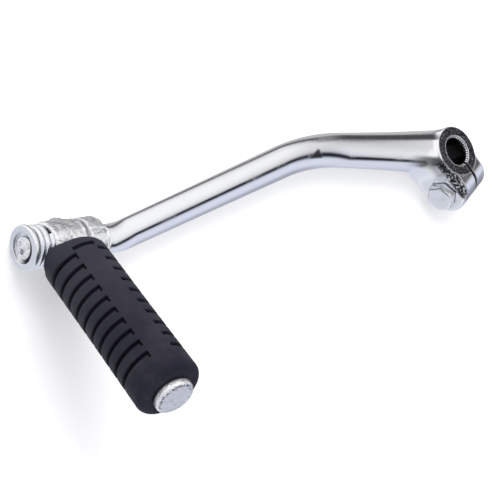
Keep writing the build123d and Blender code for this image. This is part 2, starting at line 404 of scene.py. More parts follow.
def piece(name: str, mesh: Mesh) -> Object:
    """Links a mesh into the scene as an object at the origin.

    Args:
        name: The object's name.
        mesh: Its mesh.

    Returns:
        The new object.
    """
    made = bpy.data.objects.new(name, mesh)
    bpy.context.scene.collection.objects.link(made)
    return made


def settle(made: Object, body: Body, slot: Slot, *nodes: str) -> None:
    """Makes a finished piece ride on its body, and hides the nodes it stands for.

    Args:
        made: The piece.
        body: What it rides on.
        slot: Its material slot; not used.
        *nodes: The solids that it replaces.
    """
    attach(made, body.value)
    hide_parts(*nodes)
    log.info("%s: %d faces on %s", made.name, len(made.data.polygons), body.value)


def dressed(mesh: Mesh, finish: Material, body: Body, slot: Slot, node: str) -> Object:
    """Makes a settled piece of a mesh and its finish.

    Args:
        mesh: The finished mesh, which gives the piece its name.
        finish: Its material.
        body: What it rides on.
        slot: Its material slot.
        node: The solid that it replaces.

    Returns:
        The piece.
    """
    mesh.materials.append(finish)
    made = piece(mesh.name, mesh)
    settle(made, body, slot, node)
    return made


def smoothed(mesh: Mesh, angle: float) -> None:
    """Shades a mesh smooth but for edges sharper than an angle in degrees."""
    mesh.shade_smooth()
    mesh.set_sharp_from_angle(angle=math.radians(angle))


def plain_mesh(name: str, points: Any, faces: Any) -> Mesh:
    """Makes a smooth-shaded mesh.

    Args:
        name: The mesh's name.
        points: Its vertices in millimetres.
        faces: Vertex numbers of each face.

    Returns:
        The mesh, in metres.
    """
    mesh = bpy.data.meshes.new(name)
    mesh.from_pydata((np.asarray(points) * MM).tolist(), [], np.asarray(faces).tolist())
    mesh.shade_smooth()
    mesh.update()
    return mesh


def skinned(name: str, points: Array, quads: Array, normals: Array) -> Mesh:
    """Makes a mesh that carries its field's own normals.

    Args:
        name: The mesh's name.
        points: Its vertices in millimetres.
        quads: Its faces.
        normals: The vertices' normals.

    Returns:
        The mesh.
    """
    mesh = plain_mesh(name, points, quads)
    mesh.normals_split_custom_set_from_vertices(normals.tolist())
    return mesh


def put_mark(mesh: Mesh, name: Mark, values: Array) -> None:
    """Stores one number for each vertex."""
    made = mesh.attributes.new(name.value, "FLOAT", "POINT")
    made.data.foreach_set("value", np.asarray(values, np.float32))


def lathe(profile: Sequence[Span], angles: Array) -> tuple[Array, Array]:
    """Turns a closed profile about Z.

    Args:
        profile: (radius, height) pairs round the section, anticlockwise with the radius to the right.
        angles: The stations round the axis in radians, closed to a full turn.

    Returns:
        Points and quads, faces outwards.
    """
    ring = np.asarray(profile)
    rows, columns = len(ring), len(angles)
    points = np.empty((columns, rows, 3))
    points[..., 0] = np.cos(angles)[:, None] * ring[None, :, 0]
    points[..., 1] = np.sin(angles)[:, None] * ring[None, :, 0]
    points[..., 2] = ring[None, :, 1]
    return points.reshape(-1, 3), torus_quads(columns, rows)


def torus_quads(columns: int, rows: int) -> Array:
    """Makes the quads of a grid that closes both ways.

    Args:
        columns: Stations the long way, counted first.
        rows: Points of each station.

    Returns:
        Four vertex numbers for each quad.
    """
    c, r = np.meshgrid(np.arange(columns), np.arange(rows), indexing="ij")
    d, s = (c + 1) % columns, (r + 1) % rows
    quads = np.stack([c * rows + r, d * rows + r, d * rows + s, c * rows + s], -1)
    return quads.reshape(-1, 4)


def corner_arc(middle: Span, radius: float, start: float, stop: float, count: int) -> list[Span]:
    """Points of a profile's rounded corner, angles in degrees from the radius direction."""
    turns = np.radians(np.linspace(start, stop, count))
    return [(middle[0] + radius * math.cos(t), middle[1] + radius * math.sin(t)) for t in turns]


def rough(points: Array, size: float, octaves: int = 3) -> Array:
    """Fractal noise about zero at points in millimetres, its features about size across."""
    return np.array([noise.fractal(Vector(p) / size, 0.9, 2.1, octaves) for p in points])


def step(low: float, high: float, value: Array) -> Array:
    """A smooth step from zero at low to one at high."""
    t = np.clip((value - low) / (high - low), 0.0, 1.0)
    return t * t * (3.0 - 2.0 * t)


def patch(edges: Edges, *values: Array) -> Array:
    """One inside a patch, zero outside: a smooth step on each value, from its pair of edges."""
    return math.prod(step(*edge, value) for edge, value in zip(edges, values))


def ridge(values: Array, width: float) -> Array:
    """One where values cross zero, falling off over a width."""
    return np.exp(-((values / width) ** 2))


def greatest(*values: Array) -> Array:
    """The greatest of several arrays, place by place."""
    return reduce(np.maximum, values)


def soft_min(a: Array, b: Array, width: Any) -> Array:
    """The smaller of two distances, blended over a width where they meet."""
    share = np.maximum(width - np.abs(a - b), 0.0) / width
    return np.minimum(a, b) - share**3 * width / 6.0


def soft_max(a: Array, b: Array, width: Any) -> Array:
    """The greater of two distances, blended over a width where they meet."""
    return -soft_min(-a, -b, width)


def round_prism(flat: Array, along: Array, radius: Any) -> Array:
    """Distance to an outline's prism with rounded ends, from those to the outline and past the nearer end."""
    a, b = flat + radius, along + radius
    return np.minimum(np.maximum(a, b), 0.0) + np.hypot(np.maximum(a, 0.0), np.maximum(b, 0.0)) - radius


def wrapped(degrees: Array) -> Array:
    """Angles brought to within half a turn of zero, without their sign."""
    return np.abs((degrees + 180.0) % 360.0 - 180.0)


def wedge(radius: Array, past: Array) -> Array:
    """Distance aside of a ray from the axis, by the angle past it in degrees."""
    return radius * np.sin(np.radians(np.clip(past, -90.0, 90.0)))


def spaced(*runs: Point) -> Array:
    """Stations along an axis from (start, stop, spacing) runs that follow each other."""
    parts = [np.linspace(a, b, max(2, round((b - a) / s)), endpoint=False) for a, b, s in runs]
    return np.concatenate([*parts, [runs[-1][1]]])


@dataclass(frozen=True)
class SkinNet:
    """Wraps a signed distance field in an even net of quads that lies on the surface."""

    xs: Array
    ys: Array
    zs: Array
    rounds: int = 4
    probe: float = 0.02
    least_slope: float = 0.05

    def skin(self, shape: Field) -> tuple[Array, Array, Array]:
        """Finds the surface.

        Args:
            shape: The field, in millimetres, negative inside.

        Returns:
            Points, quads and outward normals.
        """
        grid = shape(self.xs[:, None, None], self.ys[None, :, None], self.zs[None, None, :])
        inside = grid < 0.0
        n = [len(self.xs), len(self.ys), len(self.zs)]
        corners = [(i, j, k) for i in (0, 1) for j in (0, 1) for k in (0, 1)]
        filled = np.zeros([c - 1 for c in n], np.uint8)
        for i, j, k in corners:
            filled += inside[i : n[0] - 1 + i, j : n[1] - 1 + j, k : n[2] - 1 + k]
        active = (filled > 0) & (filled < len(corners))
        number = np.full(active.shape, -1)
        number[active] = np.arange(int(active.sum()))
        points = self.crossings(grid, np.nonzero(active), corners)
        quads = self.faces(inside, number)
        for _ in range(self.rounds):
            points = self.pull(shape, self.even(points, quads))
        points = self.pull(shape, self.pull(shape, points))
        normals = self.slope(shape, points)
        return points, quads, normals / np.linalg.norm(normals, axis=1)[:, None]

    def crossings(self, grid: Array, cell: Sequence[Array], corners: Sequence[Sequence[int]]) -> Array:
        """Places one point in each cell that the surface passes through.

        Args:
            grid: The field at the net's stations.
            cell: The cells' numbers along each axis.
            corners: The eight corners of a cell.

        Returns:
            The mean of each cell's edge crossings.
        """
        axes = (self.xs, self.ys, self.zs)
        total = np.zeros((len(cell[0]), 3))
        hits = np.zeros(len(cell[0]))
        for a in corners:
            for axis in range(3):
                if a[axis]:
                    continue
                b = [v + (axis == m) for m, v in enumerate(a)]
                fa = grid[tuple(c + o for c, o in zip(cell, a))]
                fb = grid[tuple(c + o for c, o in zip(cell, b))]
                cross = (fa < 0.0) != (fb < 0.0)
                share = np.where(cross, fa / np.where(cross, fa - fb, 1.0), 0.0)
                for m in range(3):
                    pa, pb = axes[m][cell[m] + a[m]], axes[m][cell[m] + b[m]]
                    total[:, m] += cross * (pa + share * (pb - pa))
                hits += cross
        return total / hits[:, None]

    @staticmethod
    def faces(inside: Array, number: Array) -> Array:
        """Makes one quad for each grid edge that crosses the surface.

        Args:
            inside: Which stations lie inside.
            number: Each cell's point.

        Returns:
            The quads, faces outwards.
        """
        found = []
        for order in ((0, 1, 2), (1, 2, 0), (2, 0, 1)):
            solid, cells = inside.transpose(order), number.transpose(order)
            a, b = solid[:-1, 1:-1, 1:-1], solid[1:, 1:-1, 1:-1]
            for way in (False, True):
                i, j, k = np.nonzero((b & ~a) if way else (a & ~b))
                quad = [cells[i, j, k], cells[i, j + 1, k], cells[i, j + 1, k + 1], cells[i, j, k + 1]]
                found.append(np.stack(quad[::-1] if way else quad, -1))
        return np.concatenate(found)

    @staticmethod
    def even(points: Array, quads: Array) -> Array:
        """Evens out the net.

        Args:
            points: Its points.
            quads: Its faces.

        Returns:
            Each point moved to the mean of the middles of its quads.
        """
        spread = np.repeat(points[quads].mean(1), 4, axis=0)
        count = np.bincount(quads.ravel(), minlength=len(points))
        sums = [np.bincount(quads.ravel(), spread[:, m], len(points)) for m in range(3)]
        return np.stack(sums, -1) / count[:, None]

    def slope(self, shape: Field, points: Array) -> Array:
        """Measures the field's gradient.

        Args:
            shape: The field.
            points: Where to measure.

        Returns:
            The gradients.
        """
        x, y, z = points.T
        h = self.probe
        dx = shape(x + h, y, z) - shape(x - h, y, z)
        dy = shape(x, y + h, z) - shape(x, y - h, z)
        dz = shape(x, y, z + h) - shape(x, y, z - h)
        return np.stack([dx, dy, dz], -1) / (2.0 * h)

    def pull(self, shape: Field, points: Array) -> Array:
        """Points moved onto the surface along the gradient."""
        grad = self.slope(shape, points)
        return points - grad * (shape(*points.T) / np.maximum((grad**2).sum(1), self.least_slope))[:, None]


# Finishes


@dataclass(frozen=True)
class ChromeFinish:
    """Bright plate over a forging: polished bar, pitted jaws, boss faces bare and dark, and dark reflections
    painted on the bar and at the web.
    """

    tint: Colour = (0.94, 0.945, 0.955)
    # The darkest bare colour is also the colour of the painted dark reflections
    bare_and_reflection_low: Colour = (0.018, 0.018, 0.022)
    bare_high: Colour = (0.25, 0.25, 0.27)
    polish: float = 0.045
    haze: float = 0.06
    streak_scale: Point = (60.0, 2200.0, 2200.0)

    def material(self) -> Material:
        """Builds the shader.

        Returns:
            The finished material.
        """
        made, g = Shade.material("arm_chrome_plate")
        here = g.place()
        bare, pitted, shade = g.mark(Mark.BARE), g.mark(Mark.PITTED), g.mark(Mark.SHADE)
        streak = g.grain(g.turned(here, (0.0, 0.0, 0.0), self.streak_scale), 1.0, 2.0)
        cloud = g.grain(here, 90.0)
        cast = g.grain(here, 900.0, 4.0, 0.62)
        coarse = g.grain(here, 420.0, 3.0, 0.6)
        pits = g.ease(g.cells(here, 1400.0), 0.22, 0.10) * g.ease(cloud, 0.52, 0.66)
        mottle = g.ease(g.grain(here, 1500.0, 4.0, 0.7), 0.46, 0.66)
        dark = g.blend(mottle, self.bare_and_reflection_low, self.bare_high)
        blotch = g.ease(g.grain(here, 760.0, 4.0, 0.74), 0.62, 0.49)
        worn = g.blend(blotch, self.tint, self.bare_and_reflection_low)
        # The shade mark paints dark reflections in the darkest bare colour
        colour = g.blend(shade, g.blend(bare, g.blend(pitted, self.tint, worn), dark), self.bare_and_reflection_low)
        level = self.polish + self.haze * g.ease(cloud, 0.35, 0.75) + 0.03 * streak
        level = level + 0.10 * pitted + 0.36 * bare + 0.1 * shade
        lumps = cast * 0.55 + coarse * 0.45 - 0.5
        relief = lumps * g.math("MAXIMUM", pitted, bare * 0.6) + pits * -0.05 + streak * 0.0025
        g.surface(Base_Color=colour, Metallic=1.0, Roughness=level, Normal=g.bump(relief, 0.9, 1.1))
        return made


@dataclass(frozen=True)
class ToothFinish:
    """The bore's cut teeth: dark steel with highlights painted at the tooth ends and the mouths' lips."""

    low: Colour = (0.030, 0.025, 0.026)
    # The painted highlight's colour
    high: Colour = (0.86, 0.86, 0.87)
    highlight_end_depth: Span = (8.6, 10.0)
    highlight_lip_depth: Span = (10.72, 10.85)
    wear_scale: Point = (1500.0, 1500.0, 120.0)

    def material(self) -> Material:
        """Builds the shader.

        Returns:
            The finished material.
        """
        made, g = Shade.material("arm_bore_teeth")
        here = g.place()
        depth = g.math("ABSOLUTE", g.split(here)[2]) / MM
        wall = g.mark(Mark.WALL)
        tooth_end_highlight = g.ease(depth, *self.highlight_end_depth) * (1.0 - wall)
        lip = g.ease(depth, *self.highlight_lip_depth) * wall
        wear = g.grain(g.turned(here, (0.0, 0.0, 0.0), self.wear_scale), 1.0)
        # Painted highlights at the tooth ends and the lips, with a little wear
        painted_highlight = g.math("MAXIMUM", tooth_end_highlight, lip) + 0.12 * g.ease(wear, 0.5, 0.8)
        colour = g.blend(painted_highlight, self.low, self.high)
        bumped = g.bump(wear, 0.35, 0.08)
        g.surface(Base_Color=colour, Metallic=1.0, Roughness=0.22 + 0.25 * wear, Normal=bumped)
        return made


@dataclass(frozen=True)
class ZincFinish:
    """Bright zinc over steel, dulled by fine marks."""

    name: str
    tint: Colour = (0.94, 0.95, 0.97)
    dull: Colour = (0.68, 0.69, 0.72)
    dirt_and_shade: Colour = (0.025, 0.025, 0.030)
    level: float = 0.20
    relief: float = 0.10
    grain_size: float = 0.6

    def material(self) -> Material:
        """Builds the shader.

        Returns:
            The finished material.
        """
        made, g = Shade.material(self.name)
        here = g.place()
        fine = g.grain(here, 1.0 / (self.grain_size * MM), 4.0, 0.6)
        broad = g.grain(here, 220.0)
        stain = g.ease(broad * 0.6 + fine * 0.4, 0.48, 0.68)
        bright = g.blend(stain * 0.7, self.tint, self.dull)
        # The bare mark here is painted shade: under the bolt's head and along its edges, and in the washer's
        # dish
        colour = g.blend(g.mark(Mark.BARE) * (0.75 + 0.5 * fine), bright, self.dirt_and_shade)
        level = self.level + 0.14 * stain + 0.06 * fine
        g.surface(Base_Color=colour, Metallic=1.0, Roughness=level, Normal=g.bump(fine, 0.5, self.relief))
        return made


@dataclass(frozen=True)
class CastFinish:
    """The pedal's rough casting under plate, its tip's face smoother and scratched."""

    tint: Colour = (0.97, 0.972, 0.98)
    dull: Colour = (0.72, 0.72, 0.74)
    matt: Colour = (0.68, 0.675, 0.69)
    dirt_and_shade: Colour = (0.035, 0.033, 0.036)
    scratch_turn: Point = (0.3, 0.9, 0.5)
    scratch_scale: Point = (300.0, 3500.0, 300.0)

    def material(self) -> Material:
        """Builds the shader.

        Returns:
            The finished material.
        """
        made, g = Shade.material("pedal_cast_plate")
        here = g.place()
        pitted, bare, dirt_and_shade_mask = g.mark(Mark.PITTED), g.mark(Mark.BARE), g.mark(Mark.GROOVE)
        coarse = g.grain(here, 520.0, 4.0, 0.62)
        fine = g.grain(here, 1700.0, 3.0, 0.6)
        scratch = g.grain(g.turned(here, self.scratch_turn, self.scratch_scale), 1.0, 2.0)
        hollow = g.ease(coarse, 0.48, 0.36)
        bright = g.blend(hollow * (0.10 + 0.45 * pitted), self.tint, self.dull)
        plate = g.blend(bare * (0.55 + 0.45 * fine), bright, self.matt)
        lines = g.ease(scratch, 0.53, 0.66) * bare
        # Dirt in the casting's folds, and painted shade in the seam, along the tip's top edge, in the punch
        # mark and at the peened head's foot
        dirt_and_shade_share = g.math("MAXIMUM", dirt_and_shade_mask * (0.35 + 1.1 * coarse), 0.6 * lines)
        colour = g.blend(dirt_and_shade_share, plate, self.dirt_and_shade)
        level = 0.12 + 0.08 * fine + 0.04 * pitted + 0.24 * bare + 0.2 * dirt_and_shade_mask
        relief = (coarse * 0.7 + fine * 0.3) * (0.06 + 0.5 * pitted) + scratch * 0.14
        metal = 1.0 - 0.45 * pitted * (1.0 - bare)
        g.surface(Base_Color=colour, Metallic=metal, Roughness=level, Normal=g.bump(relief, 0.8, 0.7))
        return made


@dataclass(frozen=True)
class RubberFinish:
    """Matt moulded rubber with painted shade in its grooves and a painted fade, a lighter sheen at its inner
    end and shade towards its outer end, faintly dusty on its ribs.
    """

    # The painted fade's ends: a lighter sheen at the inner end, shade at the outer end
    inner: Colour = (0.027, 0.0265, 0.041)
    outer: Colour = (0.0085, 0.0082, 0.020)
    dust: Colour = (0.034, 0.033, 0.045)
    # Painted shade in the grooves
    deep: Colour = (0.004, 0.004, 0.010)
    way: Point = (0.0, 0.843, 0.537)
    painted_fade_reach: Span = (106.0, 26.0)
    gloss: float = 0.26

    def material(self) -> Material:
        """Builds the shader.

        Returns:
            The finished material.
        """
        made, g = Shade.material("pedal_moulded_rubber")
        here = g.place()
        groove = g.mark(Mark.GROOVE)
        skin = g.grain(here, 2600.0, 3.0, 0.6)
        cloud = g.grain(here, 70.0, 4.0, 0.6)
        specks = g.ease(g.cells(here, 520.0), 0.12, 0.05)
        reach = g.vector("DOT_PRODUCT", here, self.way, key="Value") / MM
        # Painted fade: sheen at the inner end, shade towards the outer end
        painted_fade = g.blend(g.ease(reach, *self.painted_fade_reach), self.outer, self.inner)
        dusty = 0.55 * g.ease(cloud, 0.42, 0.75) + 0.25 * specks
        # Painted shade darkens the grooves
        colour = g.blend(g.ease(groove, 0.25, 0.9), g.blend(dusty, painted_fade, self.dust), self.deep)
        level = 0.56 + 0.14 * skin - 0.08 * g.ease(cloud, 0.5, 0.7) + 0.10 * groove
        bumped = g.bump(skin + specks * 0.4, 0.35, 0.12)
        g.surface(
            Base_Color=colour, Metallic=0.0, Roughness=level, Specular_IOR_Level=self.gloss, Normal=bumped
        )
        return made


# The lever's pieces


@dataclass
class ArmForging:
    """The chromed arm: boss, clamp jaws, bent bar, neck with its stop dog, and spigot.

    Fields that end in "edges" are where a mark begins and is full, for each value that bounds it.
    """

    boss_r: float = 12.5
    boss_half: float = BOSS_HALF
    boss_round: float = 1.0
    boss_blend: float = 3.0
    boss_edge: float = 0.4
    mouth_r: float = MOUTH_R
    mouth_edge: float = 0.35
    jaw_angle: float = JAW_ANGLE
    jaw_r: float = 10.95
    jaw_round: float = 2.2
    jaw_root: float = 6.3
    jaw_blend: float = 8.5
    jaw_fillet: float = 1.0
    seat_fillet: float = 3.0
    seat_fillet_side: Span = (6.0, 13.0)
    root_fillet: float = 4.0
    root_fillet_out: Edges = ((3.0, -4.0), (-14.0, -9.0))
    seat: float = BOLT_SEAT
    tail: float = 10.0
    slit: float = SLIT_WIDTH
    slit_from: float = 3.0
    slit_edge: float = 0.5
    bolt_out: float = BOLT_OUT
    bolt_hole_r: float = 4.2
    bolt_hole_edge: float = 0.4
    spot_r: float = 7.2
    spot_edge: float = 0.8
    corners: tuple[Span, ...] = ((0.0, -2.7), (87.0, -9.2), (206.7, SPIGOT_Y), (215.3, SPIGOT_Y))
    radii: Span = (120.0, 40.0)
    end_d: float = 12.4
    end_edge: float = 1.2
    taper: float = 0.02
    root_rise: float = 1.9
    root_spread: float = 2.0
    root_fullness: float = 1.7
    root_run: float = 35.0
    root_tuck: float = 0.7
    tuck_run: float = 6.0
    web_middle: Span = (24.58, 24.76)
    web_hollow: float = 20.0
    web_chord: Span = (0.537, 0.843)
    web_reach: float = 16.07
    web_from: float = 3.0
    web_top: float = 2.5
    web_halves: Span = (8.2, 10.2)
    web_rounds: Span = (6.0, 4.0)
    web_sag_run: Span = (8.0, 22.0)
    web_sag_limit: float = 0.97
    web_blend: Span = (0.25, 1.6)
    web_blend_run: Span = (23.0, 13.0)
    spigot_r: float = 4.5
    spigot_from: float = 205.0
    spigot_end: float = 252.8
    neck_from: float = 214.6
    neck_blend: float = 0.4
    dog_r: float = 5.9
    dog_end: float = 224.16
    dog_edge: float = 0.4
    gap_middle: float = -92.4
    gap_half: float = 75.4
    gap_edge: float = 0.3
    face_edges: Edges = ((0.80, 0.97), (10.2, 10.8), (12.6, 11.9))
    shoulder_edges: Edges = ((8.6, 11.0), (-5.0, -1.5), (21.5, 17.5), (7.0, 8.4), (12.4, 12.9))
    slit_edges: Edges = ((1.3, 0.8), (4.0, 7.0))
    # A line along the bar's top and a band at the web, where dark reflections are painted
    reflection_line_tilt: Span = (0.983, -0.185)
    reflection_line_edges: Edges = ((-0.84, -0.74), (-0.44, -0.56), (92.0, 66.0), (8.0, 13.0))
    reflection_band_edges: Edges = (
        (0.20, 0.45), (1.05, 0.80), (1.5, 5.5), (34.0, 16.0), (4.0, 9.0), (-3.0, 0.5), (13.5, 9.5)
    )
    neck_edges: Edges = ((212.5, 216.0),)
    # A wedge at the bend, where a dark reflection is painted
    bend_reflection_x: float = 89.6
    bend_reflection_y: Span = (-3.6, -7.4)
    bend_reflection_lean: float = 1.8
    bend_reflection_half: float = 3.9
    bend_reflection_front: float = 3.0
    bend_reflection_edges: Edges = ((0.5, -0.5), (-0.25, 0.0), (1.05, 0.9))
    net_x: Runs = (
        (-22.0, 17.0, 0.38), (17.0, 21.0, 0.5), (21.0, 28.0, 0.7), (28.0, 196.0, 1.0),
        (196.0, 203.0, 0.7), (203.0, 208.0, 0.55), (208.0, 226.0, 0.42), (226.0, 254.0, 0.8),
    )
    net_y: Runs = ((-18.0, 31.0, 0.38),)
    net_z: Runs = ((-12.0, 12.0, 0.38),)
    spans: list[tuple[float, ...]] = field(default_factory=list, init=False)
    total: float = field(default=0.0, init=False)

    def __post_init__(self) -> None:
        """Works out the bar's straight and bent spans."""
        legs = []
        for a, b in zip(self.corners, self.corners[1:]):
            legs.append((math.dist(a, b), math.atan2(b[1] - a[1], b[0] - a[0])))
        turns = [b[1] - a[1] for a, b in zip(legs, legs[1:])]
        cuts = [0.0, *[r * math.tan(abs(t) / 2) for r, t in zip(self.radii, turns)], 0.0]
        x, y = self.corners[0]
        for i, (length, heading) in enumerate(legs):
            run = length - cuts[i] - cuts[i + 1]
            self.spans.append((x, y, heading, run, self.total, 0.0))
            x, y = x + run * math.cos(heading), y + run * math.sin(heading)
            self.total += run
            if i < len(turns):
                bend = math.copysign(self.radii[i], turns[i])
                self.spans.append((x, y, heading, abs(bend * turns[i]), self.total, bend))
                after = heading + turns[i]
                x += bend * (math.sin(after) - math.sin(heading))
                y -= bend * (math.cos(after) - math.cos(heading))
                self.total += abs(bend * turns[i])

    def along(self, x: Array, y: Array) -> tuple[Array, Array]:
        """Measures places by the bar's centre line.

        Args:
            x: Places along the lever.
            y: Places across it.

        Returns:
            The run along the line and the distance aside of it.
        """
        best, run, off = np.inf, 0.0, 0.0
        for i, (x0, y0, heading, length, start, bend) in enumerate(self.spans):
            if bend:
                cx, cy = x0 - bend * math.sin(heading), y0 + bend * math.cos(heading)
                first = math.atan2(y0 - cy, x0 - cx)
                swing = (np.arctan2(y - cy, x - cx) - first + math.pi) % (2 * math.pi) - math.pi
                s, v = swing * bend, (abs(bend) - np.hypot(x - cx, y - cy)) * math.copysign(1.0, bend)
            else:
                s = (x - x0) * math.cos(heading) + (y - y0) * math.sin(heading)
                v = (y - y0) * math.cos(heading) - (x - x0) * math.sin(heading)
            before = -s if i else np.zeros_like(s)
            after = s - length if i < len(self.spans) - 1 else np.zeros_like(s)
            gap = np.hypot(np.maximum(np.maximum(before, after), 0.0), v)
            near = gap < best
            best, run, off = (np.where(near, *pair) for pair in ((gap, best), (start + s, run), (v, off)))
        return run, off

    def nearness(self, run: Array) -> tuple[Array, Array]:
        """The plain taper's half thickness, and how near the boss is, from one there to zero."""
        near = np.exp(-np.maximum(run, 0.0) / self.root_run)
        return self.end_d / 2 + self.taper * (self.total - run) / 2, near

    def section(self, run: Array) -> tuple[Array, Array, Array]:
        """Gives the bar's section, which grows and fills out towards the boss.

        Args:
            run: Places along the centre line.

        Returns:
            Half height, half depth and fullness.
        """
        plain, near = self.nearness(run)
        tuck = self.root_tuck * np.exp(-np.maximum(run, 0.0) / self.tuck_run)
        half_y = plain + self.root_rise * near - tuck
        return half_y, plain + self.root_spread * near, 2.0 + self.root_fullness * near

    def bar(self, x: Array, y: Array, z: Array) -> Array:
        """Measures the distance to the bent bar.

        Args:
            x, y, z: Places in millimetres.

        Returns:
            Distances, negative inside.
        """
        run, off = self.along(x, y)
        half_y, half_z, power = self.section(run)
        radius = np.hypot(z, off) + 1e-9
        scale = ((np.abs(z) / half_z) ** power + (np.abs(off) / half_y) ** power) ** (1.0 / power) + 1e-9
        return np.maximum(soft_max(radius - radius / scale, x - self.corners[-1][0], self.end_edge), -x)

    def web(self, x: Array, y: Array, z: Array) -> Array:
        """Measures the distance to the hollow-curved web between the bar's lower side and the bolt's seat.

        Args:
            x, y, z: Places in millimetres.

        Returns:
            Distances, negative inside.
        """
        (cx, cy), (nx, ny) = self.web_middle, self.web_chord
        half_y, half_z, power = self.section(x)
        aside = np.minimum(np.abs(z) / half_z, self.web_sag_limit)
        sag = half_y * (1.0 - (1.0 - aside**power) ** (1.0 / power))
        low = y + sag * step(*self.web_sag_run, x)
        flat = np.maximum(self.web_hollow - np.hypot(x - cx, low - cy), x * nx + low * ny - self.web_reach)
        flat = np.maximum(flat, np.maximum(self.web_top - low, self.web_from - x))
        front = round_prism(flat, z - self.web_halves[0], self.web_rounds[0])
        return np.where(z > 0.0, front, round_prism(flat, -z - self.web_halves[1], self.web_rounds[1]))

    def jaw_axes(self, x: Array, y: Array) -> tuple[Array, Array]:
        """Distances out from the bore towards the bolt, and aside of the slit towards the bolt's head."""
        c, s = math.cos(math.radians(self.jaw_angle)), math.sin(math.radians(self.jaw_angle))
        return x * c + y * s, x * s - y * c

    def jaws(self, out: Array, side: Array, z: Array) -> Array:
        """Measures the distance to both clamp jaws as one block.

        Args:
            out, side, z: Places along the jaws' axes.

        Returns:
            Distances, negative inside.
        """
        outline = np.hypot(np.maximum(out - self.bolt_out, 0.0), z) - self.jaw_r
        inner = round_prism(np.abs(z) - self.jaw_r, -out - self.jaw_root, self.jaw_blend)
        middle, half = (self.seat - self.tail) / 2, (self.seat + self.tail) / 2
        return round_prism(np.maximum(outline, inner), np.abs(side - middle) - half, self.jaw_round)

    def shape(self, x: Array, y: Array, z: Array) -> Array:
        """Measures the distance to the whole forging, its bore left plain for the toothed lining.

        Args:
            x, y, z: Places in millimetres.

        Returns:
            Distances, negative inside.
        """
        out, side = self.jaw_axes(x, y)
        rho = np.hypot(x, y)
        boss = round_prism(rho - self.boss_r, np.abs(z) - self.boss_half, self.boss_round)
        foot, spread = self.web_blend
        body = soft_min(self.bar(x, y, z), self.web(x, y, z), foot + spread * step(*self.web_blend_run, x))
        body = soft_min(body, boss, self.boss_blend)
        fillet = self.jaw_fillet + self.seat_fillet * step(*self.seat_fillet_side, side)
        fillet = fillet + self.root_fillet * patch(self.root_fillet_out, out, out)
        body = soft_min(body, self.jaws(out, side, z), fillet)
        body = soft_max(body, np.abs(z) - self.boss_half, self.boss_edge)
        bolt = np.hypot(out - self.bolt_out, z)
        body = soft_max(body, -np.maximum(bolt - self.spot_r, self.seat - side), self.spot_edge)
        body = soft_max(body, self.bolt_hole_r - bolt, self.bolt_hole_edge)
        body = soft_max(body, -np.maximum(np.abs(side) - self.slit / 2, self.slit_from - out), self.slit_edge)
        body = soft_max(body, self.mouth_r - rho, self.mouth_edge)
        return np.minimum(soft_min(body, self.neck(x, y, z), self.neck_blend), self.spigot(x, y, z))

    def spigot(self, x: Array, y: Array, z: Array) -> Array:
        """Distance to the spigot that carries the pedal's eye."""
        radius = np.hypot(y - SPIGOT_Y, z)
        return np.maximum(radius - self.spigot_r, np.maximum(self.spigot_from - x, x - self.spigot_end))

    def neck(self, x: Array, y: Array, z: Array) -> Array:
        """Measures the distance to the neck with the gap that the stop finger swings in.

        Args:
            x, y, z: Places in millimetres.

        Returns:
            Distances, negative inside.
        """
        rise = y - SPIGOT_Y
        radius = np.hypot(rise, z)
        gap = wedge(radius, self.gap_half - wrapped(np.degrees(np.arctan2(rise, z)) - self.gap_middle))
        dog = soft_max(radius - self.dog_r, x - self.dog_end, self.dog_edge)
        return np.maximum(soft_max(dog, gap, self.gap_edge), self.neck_from - x)

    def dress(self, mesh: Mesh, points: Array, normals: Array) -> None:
        """Marks where the plate is bare or pitted, and where dark reflections are painted.

        Args:
            mesh: The arm's mesh.
            points: Its vertices in millimetres.
            normals: Their normals.
        """
        x, y, z = points.T
        out, side = self.jaw_axes(x, y)
        rho = np.hypot(x, y)
        run, off = self.along(x, y)
        plain, near = self.nearness(run)
        level = (self.reflection_line_tilt[0] * off + self.reflection_line_tilt[1] * z) / (plain + self.root_rise * near)
        lean = normals @ np.array([*self.web_chord, 0.0])
        fall = (y - self.bend_reflection_y[0]) / (self.bend_reflection_y[1] - self.bend_reflection_y[0])
        aside = np.abs(x - self.bend_reflection_x + self.bend_reflection_lean * fall) - self.bend_reflection_half * (1.0 - fall)
        face = patch(self.face_edges, np.abs(normals[:, 2]), np.abs(z), rho)
        shoulder = patch(self.shoulder_edges, side, out, out, z, rho)
        slit = patch(self.slit_edges, np.abs(side), out)
        # The line along the bar's top, where a dark reflection is painted
        line = patch(self.reflection_line_edges, level, level, run, run) * (z > 0.0)
        reflection_band = patch(self.reflection_band_edges, lean, lean, z, x, x, y, y)
        bend_reflection = patch(self.bend_reflection_edges, aside, fall, fall) * (z > self.bend_reflection_front)
        # Bare faces and slit; the line along the bar's top is a painted reflection, dark and rough like bare
        # plate
        put_mark(mesh, Mark.BARE, greatest(face, 0.7 * slit, 0.85 * line))
        put_mark(mesh, Mark.PITTED, greatest(shoulder, 0.12 * line, 0.12 * patch(self.neck_edges, x)))
        # Painted dark reflections: the wedge at the bend, the band at the web and the line along the bar's
        # top
        put_mark(mesh, Mark.SHADE, greatest(0.9 * bend_reflection, 0.85 * reflection_band, 0.5 * line))

    def build(self, chrome: Material) -> Object:
        """Makes the arm's mesh and marks it.

        Args:
            chrome: The arm's finish.

        Returns:
            The finished piece.
        """
        net = SkinNet(xs=spaced(*self.net_x), ys=spaced(*self.net_y), zs=spaced(*self.net_z))
        points, quads, normals = net.skin(self.shape)
        mesh = skinned("arm_forging", points, quads, normals)
        self.dress(mesh, points, normals)
        return dressed(mesh, chrome, Body.ARM, Slot.CHROME, "kick_arm")


